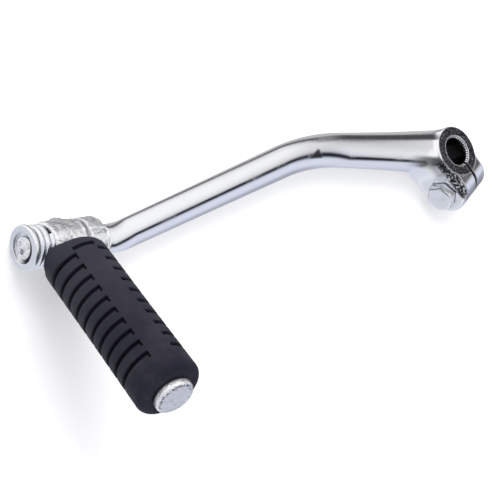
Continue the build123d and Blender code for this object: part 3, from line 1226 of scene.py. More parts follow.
@dataclass
class BoreLining:
    """The bore's wall with its fine teeth and chamfered mouths, open at the slit."""

    teeth: int = 36
    crest_r: float = 6.9
    root_r: float = 7.35
    root_sink: float = 0.08
    mouth_r: float = MOUTH_R
    mouth_depth: float = 0.9
    back_r: float = 8.25
    back_slope: float = 0.5
    half: float = BOSS_HALF
    inset: float = 0.03
    lip_inset: float = 0.02
    crest_share: float = 0.44
    root_share: float = 0.20
    slit: float = SLIT_WIDTH
    slit_angle: float = JAW_ANGLE
    slit_room: float = 6.0
    stations: int = 145
    rows: int = 9
    sharp: float = 25.0

    def profile(self) -> list[Span]:
        """Draws the wall's section.

        Returns:
            (radius, height) pairs, anticlockwise.
        """
        fall = (self.mouth_r - self.root_r) * self.mouth_depth / (self.mouth_r - self.crest_r)
        lip, edge = self.half - self.inset, self.mouth_r - self.lip_inset
        back = lip - self.back_slope
        inner = [(self.root_r, h) for h in np.linspace(lip - fall, fall - lip, self.rows)]
        return [(edge, -lip), (self.back_r, -back), (self.back_r, back), (edge, lip), *inner]

    def tree(self, finish: Material) -> Build:
        """Builds geometry nodes that set one small tooth round the wall.

        Args:
            finish: The teeth's material.

        Returns:
            The tree.
        """
        pitch = 2 * math.pi / self.teeth
        sizes = {
            "Crest Radius": self.crest_r * MM, "Root Radius": (self.root_r + self.root_sink) * MM,
            "Crest Width": self.crest_share * pitch * self.crest_r * MM,
            "Root Width": (1 - self.root_share) * pitch * self.root_r * MM,
            "Half Length": self.half * MM, "Mouth Radius": self.mouth_r * MM,
            "Mouth Slope": self.mouth_depth / (self.mouth_r - self.crest_r), "Pitch": pitch,
            "Slit Angle": math.radians(self.slit_angle), "Slit Room": math.radians(self.slit_room),
        }
        g = Build("bore_teeth", sizes)
        block = g.node("GeometryNodeMeshCube", None, {"Size": (1.0, 1.0, 1.0), "Vertices Z": 3})
        x, y, z = g.split(g.place)
        share = x + 0.5
        radius = g.size("Crest Radius") + share * (g.size("Root Radius") - g.size("Crest Radius"))
        width = g.size("Crest Width") + share * (g.size("Root Width") - g.size("Crest Width"))
        reach = g.size("Half Length") - (g.size("Mouth Radius") - radius) * g.size("Mouth Slope")
        tooth = g.moved(g.out(block, "Mesh"), g.join(radius, y * width, z * 2.0 * reach))
        line = g.node("GeometryNodeMeshLine", None, {"Count": self.teeth, "Offset": (0.0, 0.0, 0.0)})
        turn = g.out(g.node("GeometryNodeInputIndex")) * g.size("Pitch")
        spin = g.node("FunctionNodeEulerToRotation", None, {0: g.join(0.0, 0.0, turn)})
        kept = g.math("ABSOLUTE", turn - g.size("Slit Angle")) > g.size("Slit Room")
        sockets = {"Points": g.out(line), "Selection": kept, "Instance": tooth, "Rotation": g.out(spin)}
        ring = g.out(g.node("GeometryNodeInstanceOnPoints", None, sockets))
        whole = g.node("GeometryNodeJoinGeometry", None, {0: ring})
        g.tree.links.new(g.base().socket, whole.inputs[0])
        g.close(g.out(whole), finish)
        return g

    def build(self, finish: Material) -> Object:
        """Makes the wall and adds its teeth.

        Args:
            finish: The bore's finish.

        Returns:
            The finished piece.
        """
        half_gap = math.asin(self.slit / 2 / self.root_r)
        start = math.radians(self.slit_angle) + half_gap
        angles = np.linspace(start, start + 2 * math.pi - 2 * half_gap, self.stations)
        profile = self.profile()
        points, quads = lathe(profile, angles)
        rows = len(profile)
        last = (len(angles) - 1) * rows
        faces = [*quads[:last].tolist(), list(range(rows))[::-1], list(range(last, last + rows))]
        mesh = bpy.data.meshes.new("bore_wall")
        mesh.from_pydata((points * MM).tolist(), [], faces)
        put_mark(mesh, Mark.WALL, np.ones(len(points)))
        host = piece("arm_bore_teeth", mesh)
        host.data = self.tree(finish).run(host)
        smoothed(host.data, self.sharp)
        settle(host, Body.ARM, Slot.CHROME, "kick_arm")
        return host


@dataclass
class SpigotEnd:
    """The spigot's end, peened over the washer into a rough head."""

    x_from: float = 251.4
    floor: float = 252.99
    y: float = SPIGOT_Y
    head_r: float = 4.9
    head_h: float = 1.5
    head_edge: float = 1.0
    dome: float = 0.033
    dent: float = 0.25
    dent_wave: Span = (0.1, 0.9)
    # Size, count and phase of each wave round the head
    lobes: tuple[Point, ...] = ((0.28, 3.0, 0.7), (0.16, 5.0, 2.0))
    shank_r: float = 4.45
    shank_lap: float = 0.3
    punch_at: Span = (1.2, -1.4)
    punch_r: float = 1.5
    punch_floor: float = 0.75
    punch_edge: float = 0.7
    notch_way: Span = (0.75, 0.66)
    notch_off: float = 1.9
    notch_half: float = 0.5
    notch_floor: float = 0.7
    notch_edge: float = 0.5
    top_edge: Span = (0.2, 0.7)
    foot_shade_edge: Span = (0.75, 0.2)
    hole_shade_edges: Edges = ((1.7, 1.1), (0.3, 0.7))
    rough_size: float = 1.1
    rough_depth: float = 0.10
    crack_size: float = 1.9
    crack_width: float = 0.06
    room: float = 6.3

    def punched(self, rise: Array, z: Array) -> Array:
        """Distance from the punch mark's middle."""
        return np.hypot(rise - self.punch_at[0], z - self.punch_at[1])

    def shape(self, x: Array, y: Array, z: Array) -> Array:
        """Measures the distance to the peened head and its shank.

        Args:
            x, y, z: Places in millimetres.

        Returns:
            Distances, negative inside.
        """
        rise = y - self.y
        radius, turn = np.hypot(rise, z), np.arctan2(rise, z)
        lobes = sum(size * np.cos(count * turn + phase) for size, count, phase in self.lobes)
        dent = self.dent * np.sin(x * self.dent_wave[0] + rise * self.dent_wave[1]) ** 2
        top = self.floor + self.head_h - self.dome * radius**2 - dent
        head = soft_max(radius - self.head_r - lobes, x - top, self.head_edge)
        head = np.maximum(head, self.floor - x)
        punch = np.maximum(self.punched(rise, z) - self.punch_r, self.floor + self.punch_floor - x)
        head = soft_max(head, -punch, self.punch_edge)
        notch = np.abs(rise * self.notch_way[0] + z * self.notch_way[1] + self.notch_off) - self.notch_half
        head = soft_max(head, -np.maximum(notch, self.floor + self.notch_floor - x), self.notch_edge)
        ends = np.maximum(self.x_from - x, x - self.floor - self.shank_lap)
        return np.minimum(head, np.maximum(radius - self.shank_r, ends))

    def build(self, finish: Material) -> Object:
        """Makes the peened head and marks where it is darker: painted shade in its punch mark and at its foot
        against the washer, and its dark cracks.

        Args:
            finish: The head's finish.

        Returns:
            The finished piece.
        """
        net = SkinNet(
            xs=spaced((self.x_from - 0.6, self.floor + 2.4, 0.16)),
            ys=spaced((self.y - self.room, self.y + self.room, 0.18)),
            zs=spaced((-self.room, self.room, 0.18)),
        )
        points, quads, normals = net.skin(self.shape)
        top = step(*self.top_edge, points[:, 0] - self.floor)
        bumps = self.rough_depth * top * rough(points, self.rough_size)
        points = points + normals * bumps[:, None]
        mesh = plain_mesh("spigot_peen", points, quads)
        hole = patch(self.hole_shade_edges, self.punched(points[:, 1] - self.y, points[:, 2]), normals[:, 0])
        cracks = ridge(rough(points + 9.0, self.crack_size, 2), self.crack_width) * top
        foot = step(*self.foot_shade_edge, points[:, 0] - self.floor)
        put_mark(mesh, Mark.PITTED, 0.8 * top)
        # Painted shade in the punch mark and at the head's foot, with the dark cracks
        put_mark(mesh, Mark.GROOVE, greatest(0.75 * hole, 0.7 * cracks, foot))
        return dressed(mesh, finish, Body.ARM, Slot.CHROME, "kick_arm")


@dataclass
class ClampBolt:
    """The hexagon head bolt across the jaws, built along Z from its seat."""

    angle: float = JAW_ANGLE
    out: float = BOLT_OUT
    seat: float = BOLT_SEAT
    shank_r: float = 4.0
    shank_lap: float = 0.5
    shank_edge: float = 0.9
    length: float = 22.9
    flats: float = 12.0
    head_h: float = 5.3
    head_fillet: float = 0.3
    crown_r: float = 5.25
    crown_edge: float = 0.25
    turn: float = 46.2
    edge: float = 0.35
    sink: float = 0.3
    # Where shade is painted: along the corners, along the crown's edge, and under the head
    corner_shade_edges: Edges = ((0.75, 0.2), (-0.6, -0.2))
    brow_shade_edges: Edges = ((0.32, 0.12), (-0.5, -0.15), (2.0, -1.0))
    root_shade_edges: Edges = ((0.75, 0.35), (-0.6, -0.3))
    net_across: Runs = ((-7.4, 7.4, 0.24),)
    net_along: Runs = ((-23.6, -0.6, 0.6), (-0.6, 5.9, 0.2))

    def sides(self, x: Array, y: Array) -> list[Array]:
        """Distances to the head's six flats."""
        turns = [math.radians(self.turn + 30.0 + 60.0 * k) for k in range(6)]
        return [x * math.cos(a) + y * math.sin(a) - self.flats / 2 for a in turns]

    def crown(self, x: Array, y: Array, z: Array) -> Array:
        """Distance to the 30 degree cone that takes off the head's upper corners."""
        return (np.hypot(x, y) - self.crown_r) * 0.5 + (z - self.head_h) * 0.866

    def painted_shade(self, points: Array) -> Array:
        """Finds where shade is painted: under the head, and thinly along its edges.

        Args:
            points: The bolt's vertices.

        Returns:
            One where shade is painted, zero elsewhere.
        """
        x, y, z = points.T
        flats = np.sort(np.stack(self.sides(x, y)), axis=0)
        corner = patch(self.corner_shade_edges, flats[-1] - flats[-2], flats[-1])
        brow_shade = patch(self.brow_shade_edges, np.abs(self.crown(x, y, z)), flats[-1], y)
        return greatest(0.2 * corner, 0.85 * brow_shade, 0.95 * patch(self.root_shade_edges, z, flats[-1]))

    def shape(self, x: Array, y: Array, z: Array) -> Array:
        """Measures the distance to head and shank.

        Args:
            x, y, z: Places in the bolt's own frame.

        Returns:
            Distances, negative inside.
        """
        side = reduce(lambda a, b: soft_max(a, b, self.edge), self.sides(x, y))
        head = soft_max(side, np.maximum(z - self.head_h, -z - self.sink), self.edge)
        head = soft_max(head, self.crown(x, y, z), self.crown_edge)
        shank = np.maximum(np.hypot(x, y) - self.shank_r, z - self.shank_lap)
        return soft_min(head, soft_max(shank, -z - self.length, self.shank_edge), self.head_fillet)

    def build(self, finish: Material) -> Object:
        """Makes the bolt and lays it across the jaws.

        Args:
            finish: The bolt's finish.

        Returns:
            The finished piece.
        """
        across = spaced(*self.net_across)
        net = SkinNet(xs=across, ys=across, zs=spaced(*self.net_along), rounds=2)
        points, quads, normals = net.skin(self.shape)
        a = math.radians(self.angle)
        jaw, bolt = np.array([math.cos(a), math.sin(a), 0.0]), np.array([math.sin(a), -math.cos(a), 0.0])
        turn = np.stack([np.array([0.0, 0.0, -1.0]), jaw, bolt], -1)
        middle = jaw * self.out + bolt * self.seat
        mesh = skinned("clamp_bolt_hex", points @ turn.T + middle, quads, normals @ turn.T)
        # Painted shade under the head and along its edges
        put_mark(mesh, Mark.BARE, self.painted_shade(points))
        return dressed(mesh, finish, Body.ARM, Slot.BOLT, "clamp_bolt")


@dataclass(frozen=True)
class PedalFrame:
    """Where the pedal stands: its origin on the spigot's axis and its direction."""

    origin: Point = (234.2, SPIGOT_Y, 0.0)
    angle: float = 57.5

    def lean(self) -> Span:
        """Sine and cosine of the pedal's angle."""
        return math.sin(math.radians(self.angle)), math.cos(math.radians(self.angle))

    def axes(self) -> Array:
        """Columns: along the spigot, across, along the pedal."""
        s, c = self.lean()
        return np.array([[1.0, 0.0, 0.0], [0.0, c, s], [0.0, -s, c]])

    def placed(self, points: Array) -> Array:
        """Points of the pedal's own frame in the lever's frame."""
        return points @ self.axes().T + np.array(self.origin)

    def matrix(self) -> Matrix:
        """The same as a matrix in metres."""
        return Matrix.Translation(Vector(self.origin) * MM) @ Matrix(self.axes().tolist()).to_4x4()


@dataclass
class PedalCasting:
    """The pedal's eye, stop finger, hump, hidden bar and bright tip, in the pedal's own frame."""

    frame: PedalFrame = field(default_factory=PedalFrame)
    image_up: Point = (-0.0899, -0.9610, 0.2616)
    eye_r: float = 9.6
    eye_half: float = 10.0
    eye_round: float = 1.2
    bore_r: float = 4.55
    bore_edge: float = 0.4
    hump_r: float = 5.5
    hump_reach: float = 10.5
    hump_blend: float = 3.0
    finger_r: float = 9.8
    finger_from: float = -16.7
    finger_to: float = -4.0
    finger_middle: float = -63.4
    finger_half: float = 46.0
    finger_edge: float = 0.8
    finger_round: float = 2.0
    bar_r: float = 6.5
    bar_lap: float = 1.0
    bar_blend: float = 2.0
    tip_r: float = 8.3
    tip_from: float = 84.5
    tip_to: float = 88.2
    tip_round: float = 1.3
    seam: float = -7.0
    seam_r: float = 1.3
    seam_out: float = 0.55
    seam_edge: float = 0.6
    cast_edges: Edges = ((8.0, 9.2), (20.0, 14.0), (10.2, 9.0))
    rim_edges: Edges = ((-0.02, -0.3), (-4.2, -3.4))
    seam_shade_edges: Edges = ((1.3, 0.5), (8.0, 9.0), (-0.6, -0.1))
    brow_shade_edges: Edges = ((0.75, 0.25), (-0.6, -0.3), (-0.25, 0.10), (-3.5, 2.5))
    matt_edge: Span = (0.30, 0.80)
    face_edge: Span = (-0.2, -0.05)
    net_x: Runs = ((-17.6, 11.2, 0.4),)
    net_v: Runs = ((-11.0, 11.0, 0.4),)
    net_u: Runs = ((-12.2, 13.0, 0.4), (13.0, 83.0, 1.4), (83.0, 89.2, 0.26))

    def shape(self, x: Array, v: Array, u: Array) -> Array:
        """Measures the distance to the casting.

        Args:
            x, v, u: Places along the spigot, across, and along the pedal.

        Returns:
            Distances, negative inside.
        """
        s, c = self.frame.lean()
        radius, rod = np.hypot(v, u), np.hypot(x, v)
        turn = wrapped(np.degrees(np.arctan2(c * v + s * u, c * u - s * v)) - self.finger_middle)
        finger = soft_max(radius - self.finger_r, wedge(radius, turn - self.finger_half), self.finger_edge)
        middle, half = (self.finger_from + self.finger_to) / 2, (self.finger_to - self.finger_from) / 2
        finger = round_prism(finger, np.abs(x - middle) - half, self.finger_round)
        eye = round_prism(radius - self.eye_r, np.abs(x) - self.eye_half, self.eye_round)
        hump = round_prism(rod - self.hump_r, np.maximum(-u - self.hump_reach, u), self.eye_round)
        bar = np.maximum(rod - self.bar_r, np.maximum(-u, u - self.tip_from - self.bar_lap))
        tip = round_prism(rod - self.tip_r, np.maximum(self.tip_from - u, u - self.tip_to), self.tip_round)
        body = soft_min(soft_min(eye, finger, self.finger_edge), hump, self.hump_blend)
        ring = np.hypot(radius - self.eye_r - self.seam_out, x - self.seam) - self.seam_r
        body = soft_max(body, -ring, self.seam_edge)
        body = np.minimum(soft_min(body, bar, self.bar_blend), tip)
        return soft_max(body, self.bore_r - radius, self.bore_edge)

    def build(self, finish: Material) -> Object:
        """Makes the casting with its rough skin and marks it.

        Args:
            finish: The casting's finish.

        Returns:
            The finished piece.
        """
        net = SkinNet(xs=spaced(*self.net_x), ys=spaced(*self.net_v), zs=spaced(*self.net_u))
        points, quads, normals = net.skin(self.shape)
        x, v, u = points.T
        radius, end = np.hypot(v, u), u - self.tip_to
        cast = patch(self.cast_edges, radius, u, np.maximum(x, 0.0))
        rim = 0.55 * patch(self.rim_edges, end, end)
        fold = ridge(rough(points + 40.0, 4.2, 2), 0.07)
        height = cast * (0.32 * rough(points, 3.0) + 0.09 * rough(points, 1.0) - 0.22 * fold)
        height = height + 0.16 * rim * rough(points, 0.9)
        upward = (normals @ self.frame.axes().T) @ np.array(self.image_up)
        # Painted shade in the seam's valley, on the faces that look up along image_up
        seam = patch(self.seam_shade_edges, np.abs(x - self.seam), radius, upward)
        edge = np.abs(np.hypot(x, v) - self.tip_r + self.tip_round - 0.15 + 0.5 * rough(points, 1.2))
        # Painted shade along one side of the tip's top edge
        brow_shade = patch(self.brow_shade_edges, edge, end, rough(points + 20.0, 0.7), 0.6 * x - 0.8 * v)
        mesh = plain_mesh("pedal_casting", self.frame.placed(points + normals * height[:, None]), quads)
        matt = cast * step(*self.matt_edge, upward)
        put_mark(mesh, Mark.PITTED, np.clip(cast + rim, 0.0, 1.0))
        put_mark(mesh, Mark.BARE, greatest(matt, 0.6 * step(*self.face_edge, end)))
        # Dirt in the casting's folds; painted shade in the seam and along the tip's top edge
        put_mark(mesh, Mark.GROOVE, greatest(0.5 * cast * fold, 0.75 * seam, brow_shade))
        return dressed(mesh, finish, Body.PEDAL, Slot.PEDAL, "pedal_bar")


@dataclass
class PedalSleeve:
    """The ribbed rubber: a plain sleeve whose grooves are pressed in by geometry nodes."""

    frame: PedalFrame = field(default_factory=PedalFrame)
    start: float = 9.0
    length: float = 75.5
    hole_r: float = 6.53
    in_r: float = 13.5
    mid_r: float = 13.65
    out_r: float = 14.05
    in_round: float = 1.6
    out_round: float = 3.4
    tilt: float = 8.0
    low_at: float = 20.0
    saddle_r: float = 9.3
    lobe: float = 1.0
    lobe_at: float = 36.0
    lobe_span: float = 26.0
    lobe_round: float = 3.0
    flare: float = 2.8
    flare_at: float = -10.0
    flare_span: float = 24.0
    flare_run: float = 7.0
    count: int = 10
    first: float = 7.9
    pitch: float = 6.15
    width: float = 1.8
    floor_r: float = 12.05
    hook: float = 1.4
    hook_span: float = 3.5
    panel: float = -74.0
    panel_span: float = 42.0
    slot_at: float = 5.0
    slot_floor_r: float = 12.5
    edge: float = 0.07
    edge_angle: float = 0.35
    sharp: float = 48.0
    column_step: float = 2.5
    column_room: float = 1.2
    edge_columns: tuple[float, ...] = (-0.75, -0.45, -0.15, 0.15, 0.45, 0.75)
    first_row: float = 3.8
    slot_rows: tuple[float, ...] = (1.15, 0.98, 0.9, 0.84, 0.6)
    groove_rows: tuple[float, ...] = (0.30, 0.14, 0.05, -0.01, -0.07, -0.25)
    hook_rows: tuple[float, ...] = (-0.25, -0.07, 0.0, 0.07, 0.3, 0.9)
    face_rows: int = 6
    bevel_turns: tuple[float, ...] = (15.0, 30.0, 45.0, 60.0, 75.0, 90.0)

    def radius(self, u: Array) -> Array:
        """The plain sleeve's outer radius along its length."""
        return np.interp(u, [0.0, self.length / 2, self.length], [self.in_r, self.mid_r, self.out_r])

    def angles(self) -> Array:
        """Sets the stations round the sleeve, closer at the panel's edges.

        Returns:
            Angles in radians.
        """
        edges = [self.panel - self.panel_span / 2, self.panel + self.panel_span / 2]
        edges.append(edges[1] + self.hook_span)
        near = [e + d for e in edges for d in self.edge_columns]
        turns = np.arange(-180.0, 180.0, self.column_step)
        even = [a for a in turns if min(abs(a - e) for e in edges) > self.column_room]
        return np.radians(np.array(sorted(near + even)))

    def stations(self) -> Array:
        """Sets the rows along the outer wall, closer at the grooves' edges.

        Returns:
            Distances from the sleeve's inner end.
        """
        rows = [self.first_row, self.slot_at]
        rows += [self.slot_at + s * d for d in self.slot_rows for s in (-1, 1)]
        half = self.width / 2
        for i in range(self.count):
            middle = self.first + i * self.pitch
            rows += [middle, *[middle + s * (half + d) for d in self.groove_rows for s in (-1, 1)]]
            rows += [middle + half + self.hook + d for d in self.hook_rows]
        rows += list(np.linspace(max(rows) + 0.8, self.length - self.out_round - 0.5, 6))
        return np.array(sorted(rows))

    def base(self) -> tuple[Array, Array, Array]:
        """Makes the sleeve before its grooves.

        Returns:
            Points, quads, and one where a point is on the outer wall.
        """
        angles, rows = self.angles(), self.stations()
        columns = np.array([self.column(a, rows) for a in angles])
        wall = np.zeros(columns.shape[1])
        first = self.face_rows + len(self.bevel_turns)
        wall[first : first + len(rows)] = 1.0
        quads = torus_quads(len(angles), len(wall))
        return columns.reshape(-1, 3), quads, np.tile(wall, len(angles))

    def end(self, a: float, r: float) -> float:
        """Shapes the inner end's face: tilted, swollen by one lobe and saddled on the eye.

        Args:
            a: The angle round the sleeve in radians.
            r: The radius.

        Returns:
            The face's height.
        """
        slant = -r * math.cos(a - math.radians(self.low_at)) * math.tan(math.radians(self.tilt))
        slant -= self.lobe * self.swell(a, self.lobe_at, self.lobe_span) * r / self.in_r
        return max(slant, math.sqrt(max(self.saddle_r**2 - (r * math.sin(a)) ** 2, 0.0)) - self.start)

    @staticmethod
    def swell(a: float, middle: float, span: float) -> float:
        """A bulge round the sleeve, one at its middle, from degrees."""
        return math.exp(-(((math.degrees(a) - middle) / span) ** 2))

    def column(self, a: float, rows: Array) -> list[Point]:
        """Draws one section: inner end face, its rounding, outer wall, outer end, hole.

        Args:
            a: The section's angle in radians.
            rows: The outer wall's rows.

        Returns:
            Points round the section.
        """
        lip = self.flare * self.swell(a, self.flare_at, self.flare_span)
        bevel = self.in_round + self.lobe_round * self.swell(a, self.lobe_at, self.lobe_span)
        inner = self.in_r + lip - bevel
        section = [(r, self.end(a, r)) for r in np.linspace(self.hole_r, inner, self.face_rows)]
        for t in np.radians(self.bevel_turns):
            r = inner + bevel * math.sin(t)
            section.append((r, self.end(a, r) + bevel * (1.0 - math.cos(t))))
        section += [(float(self.radius(u)) + lip * math.exp(-((u / self.flare_run) ** 2)), u) for u in rows]
        middle = (self.out_r - self.out_round, self.length - self.out_round)
        section += corner_arc(middle, self.out_round, 0.0, 90.0, 10)
        section += [(r, self.length) for r in np.linspace(middle[0] - 0.8, self.hole_r, 4)]
        section += [(self.hole_r, u) for u in np.linspace(self.length - 6.0, 6.0, 10)]
        return [(r * math.cos(a), r * math.sin(a), u) for r, u in section]

    def tree(self, finish: Material) -> Build:
        """Builds geometry nodes that press the grooves, their hooks and the panel's slot into the wall.

        Args:
            finish: The sleeve's material.

        Returns:
            The tree.
        """
        sizes = {
            "First": self.first * MM, "Pitch": self.pitch * MM, "Last": self.count - 1.0,
            "Half Width": self.width / 2 * MM, "Floor": self.floor_r * MM, "Hook": self.hook * MM,
            "Hook Span": math.radians(self.hook_span), "Panel": math.radians(self.panel),
            "Panel Half": math.radians(self.panel_span / 2), "Slot At": self.slot_at * MM,
            "Slot Floor": self.slot_floor_r * MM, "Edge": self.edge * MM,
            "Edge Angle": math.radians(self.edge_angle),
        }
        g = Build("sleeve_grooves", sizes)
        first, pitch, last, half = (g.size(key) for key in ("First", "Pitch", "Last", "Half Width"))
        edge, edge_angle, panel_half = g.size("Edge"), g.size("Edge Angle"), g.size("Panel Half")
        x, y, z = g.split(g.place)
        radius = g.math("SQRT", x * x + y * y)
        turn = g.math("WRAP", g.math("ARCTAN2", y, x) - g.size("Panel"), math.pi, -math.pi)
        gone = z - first
        number = g.math("FLOOR", gone / pitch + 0.5)
        number = g.math("MINIMUM", g.math("MAXIMUM", number, 0.0), last)
        after = gone - g.math("FLOOR", (gone + half) / pitch) * pitch

        def inside(gap: Sock, soft: Sock) -> Sock:
            """One well inside an edge, zero outside, from the distance past the edge."""
            return g.math("SUBTRACT", 0.5, gap / (soft * 2.0), clamp=True)

        round_gap = g.math("ABSOLUTE", gone - number * pitch) - half
        panel_gap = g.math("ABSOLUTE", turn) - panel_half
        beside = inside(panel_gap * -1.0, edge_angle)
        hook_mid, span_mid = g.size("Hook") * 0.5, g.size("Hook Span") * 0.5
        hook_gap = g.math("ABSOLUTE", after - hook_mid) - half - hook_mid
        hook_turn = g.math("ABSOLUTE", turn - panel_half - span_mid) - span_mid
        within = (z > first - pitch * 0.5) * (z < first + (last + 0.6) * pitch)
        hooks = inside(hook_gap, edge) * inside(hook_turn, edge_angle) * within
        slot_gap = g.math("ABSOLUTE", z - g.size("Slot At")) - half
        slot = inside(slot_gap, edge) * inside(panel_gap, edge_angle)
        deep = g.math("MAXIMUM", inside(round_gap, edge) * beside, hooks)
        named = {"data_type": "FLOAT"}
        wall = g.out(g.node("GeometryNodeInputNamedAttribute", named, {"Name": Mark.WALL.value}))
        drop = (radius - g.size("Floor")) * deep
        drop = g.math("MAXIMUM", drop, (radius - g.size("Slot Floor")) * slot)
        lip = inside(round_gap - edge * 1.6, edge * 2.0) * beside
        drop = (drop + lip * (1.0 - deep) * edge * 1.4) * wall
        share = (radius - drop) / radius
        marks = {"data_type": "FLOAT", "domain": "POINT"}
        groove = g.math("MAXIMUM", deep, slot) * wall
        sockets = {"Geometry": g.base(), "Name": Mark.GROOVE.value, "Value": groove}
        noted = g.out(g.node("GeometryNodeStoreNamedAttribute", marks, sockets))
        g.close(g.moved(noted, g.join(x * share, y * share, z)), finish)
        return g

    def build(self, finish: Material) -> Object:
        """Makes the sleeve, presses its grooves and puts it on the pedal.

        Args:
            finish: The rubber's finish.

        Returns:
            The finished piece.
        """
        points, quads, wall = self.base()
        mesh = plain_mesh("sleeve_blank", points, quads)
        put_mark(mesh, Mark.WALL, wall)
        made = piece("pedal_sleeve", mesh)
        made.data = self.tree(finish).run(made)
        made.data.transform(self.frame.matrix() @ Matrix.Translation((0.0, 0.0, self.start * MM)))
        smoothed(made.data, self.sharp)
        settle(made, Body.PEDAL, Slot.RUBBER, "pedal_rubber")
        return made


@dataclass
class FoldSpring:
    """The thick wire coil between eye and washer, both ends ground flat."""

    x_from: float = 244.24
    y: float = SPIGOT_Y
    mean_r: float = 7.75
    wire_r: float = 1.25
    length: float = 7.75
    turns: float = 2.85
    start: float = 200.0
    stations: int = 64
    sides: int = 28
    sharp: float = 40.0

    def tree(self, finish: Material) -> Build:
        """Builds geometry nodes that sweep the wire along its coil and grind the ends.

        Args:
            finish: The wire's material.

        Returns:
            The tree.
        """
        sizes = {
            "Mean Radius": self.mean_r * MM, "Wire Radius": self.wire_r * MM, "Length": self.length * MM,
            "Turns": self.turns, "Start": math.radians(self.start),
        }
        g = Build("spring_coil", sizes)
        mean = g.size("Mean Radius")
        coil = {
            "Resolution": self.stations, "Rotations": g.size("Turns"), "Start Radius": mean,
            "End Radius": mean, "Height": g.size("Length"),
        }
        wire = {"Resolution": self.sides, "Radius": g.size("Wire Radius")}
        sweep = {
            "Curve": g.out(g.node("GeometryNodeCurveSpiral", None, coil)),
            "Profile Curve": g.out(g.node("GeometryNodeCurvePrimitiveCircle", None, wire)), "Fill Caps": True,
        }
        tube = g.out(g.node("GeometryNodeCurveToMesh", None, sweep))
        x, y, z = g.split(g.place)
        flat = g.math("MINIMUM", g.math("MAXIMUM", z, 0.0), g.size("Length"))
        c, s = g.math("COSINE", g.size("Start")), g.math("SINE", g.size("Start"))
        ground = g.join(flat, x * s + y * c, (x * c - y * s) * -1.0)
        g.close(g.moved(tube, ground), finish)
        return g

    def build(self, finish: Material) -> Object:
        """Makes the coil and puts it on the spigot.

        Args:
            finish: The wire's finish.

        Returns:
            The finished piece.
        """
        made = piece("fold_spring_coil", bpy.data.meshes.new("coil_seed"))
        made.data = self.tree(finish).run(made)
        made.data.transform(Matrix.Translation((self.x_from * MM, self.y * MM, 0.0)))
        smoothed(made.data, self.sharp)
        settle(made, Body.ARM, Slot.SPRING, "fold_spring")
        return made


@dataclass
class EndWasher:
    """The dished washer under the peened end."""

    x_from: float = 251.99
    y: float = SPIGOT_Y
    radius: float = 9.4
    thick: float = 2.3
    edge: float = 0.8
    lip: float = 0.35
    dish_r: float = 6.5
    dish: float = 1.3
    dish_fillet: float = 0.3
    hole_r: float = 4.6
    stations: int = 160
    uneven: float = 0.05
    uneven_size: float = 6.0
    uneven_edge: Span = (5.0, 7.0)
    dish_shade_edges: Edges = ((7.0, 6.5), (-0.05, -0.6))
    sharp: float = 60.0

    def profile(self) -> list[Span]:
        """Draws the section.

        Returns:
            (radius, height) pairs, anticlockwise, heights from the washer's back.
        """
        t, e, f = self.thick, self.edge, self.dish_fillet
        rim = self.radius - e
        return [
            *[(x, 0.0) for x in np.linspace(self.hole_r, rim - 0.3, 6)],
            *corner_arc((rim, e), e, -90.0, 0.0, 8),
            *corner_arc((rim, t - e), e, 0.0, 84.0, 8),
            (rim - 0.5, t - 0.005), (rim - 1.0, t - 0.015),
            *corner_arc((self.dish_r + self.lip, t - self.lip), self.lip, 92.0, 180.0, 6),
            *corner_arc((self.dish_r - f, t - self.dish + f), -f, 180.0, 90.0, 5),
            *[(x, t - self.dish) for x in np.linspace(self.dish_r - 0.8, self.hole_r, 4)],
        ]

    def build(self, finish: Material) -> Object:
        """Makes the washer, slightly uneven, and lays it along the spigot.

        Args:
            finish: The washer's finish.

        Returns:
            The finished piece.
        """
        angles = np.linspace(0.0, 2 * math.pi, self.stations, endpoint=False)
        points, quads = lathe(self.profile(), angles)
        radius = np.hypot(points[:, 0], points[:, 1])
        points[:, 2] += self.uneven * step(*self.uneven_edge, radius) * rough(points, self.uneven_size)
        x, y, z = points.T
        mesh = plain_mesh("dished_washer", np.stack([self.x_from + z, self.y + y, -x], -1), quads)
        # Painted shade in the dish, heavier on one side
        turn = np.arctan2(y, -x)
        dish_shade_spread = np.clip(0.45 + 0.55 * np.cos(turn - 0.6) + 0.35 * np.cos(3.0 * turn + 1.0), 0.0, 1.0)
        put_mark(mesh, Mark.BARE, patch(self.dish_shade_edges, radius, z - self.thick) * dish_shade_spread)
        mesh.set_sharp_from_angle(angle=math.radians(self.sharp))
        return dressed(mesh, finish, Body.ARM, Slot.WASHER, "end_washer")


# The studio


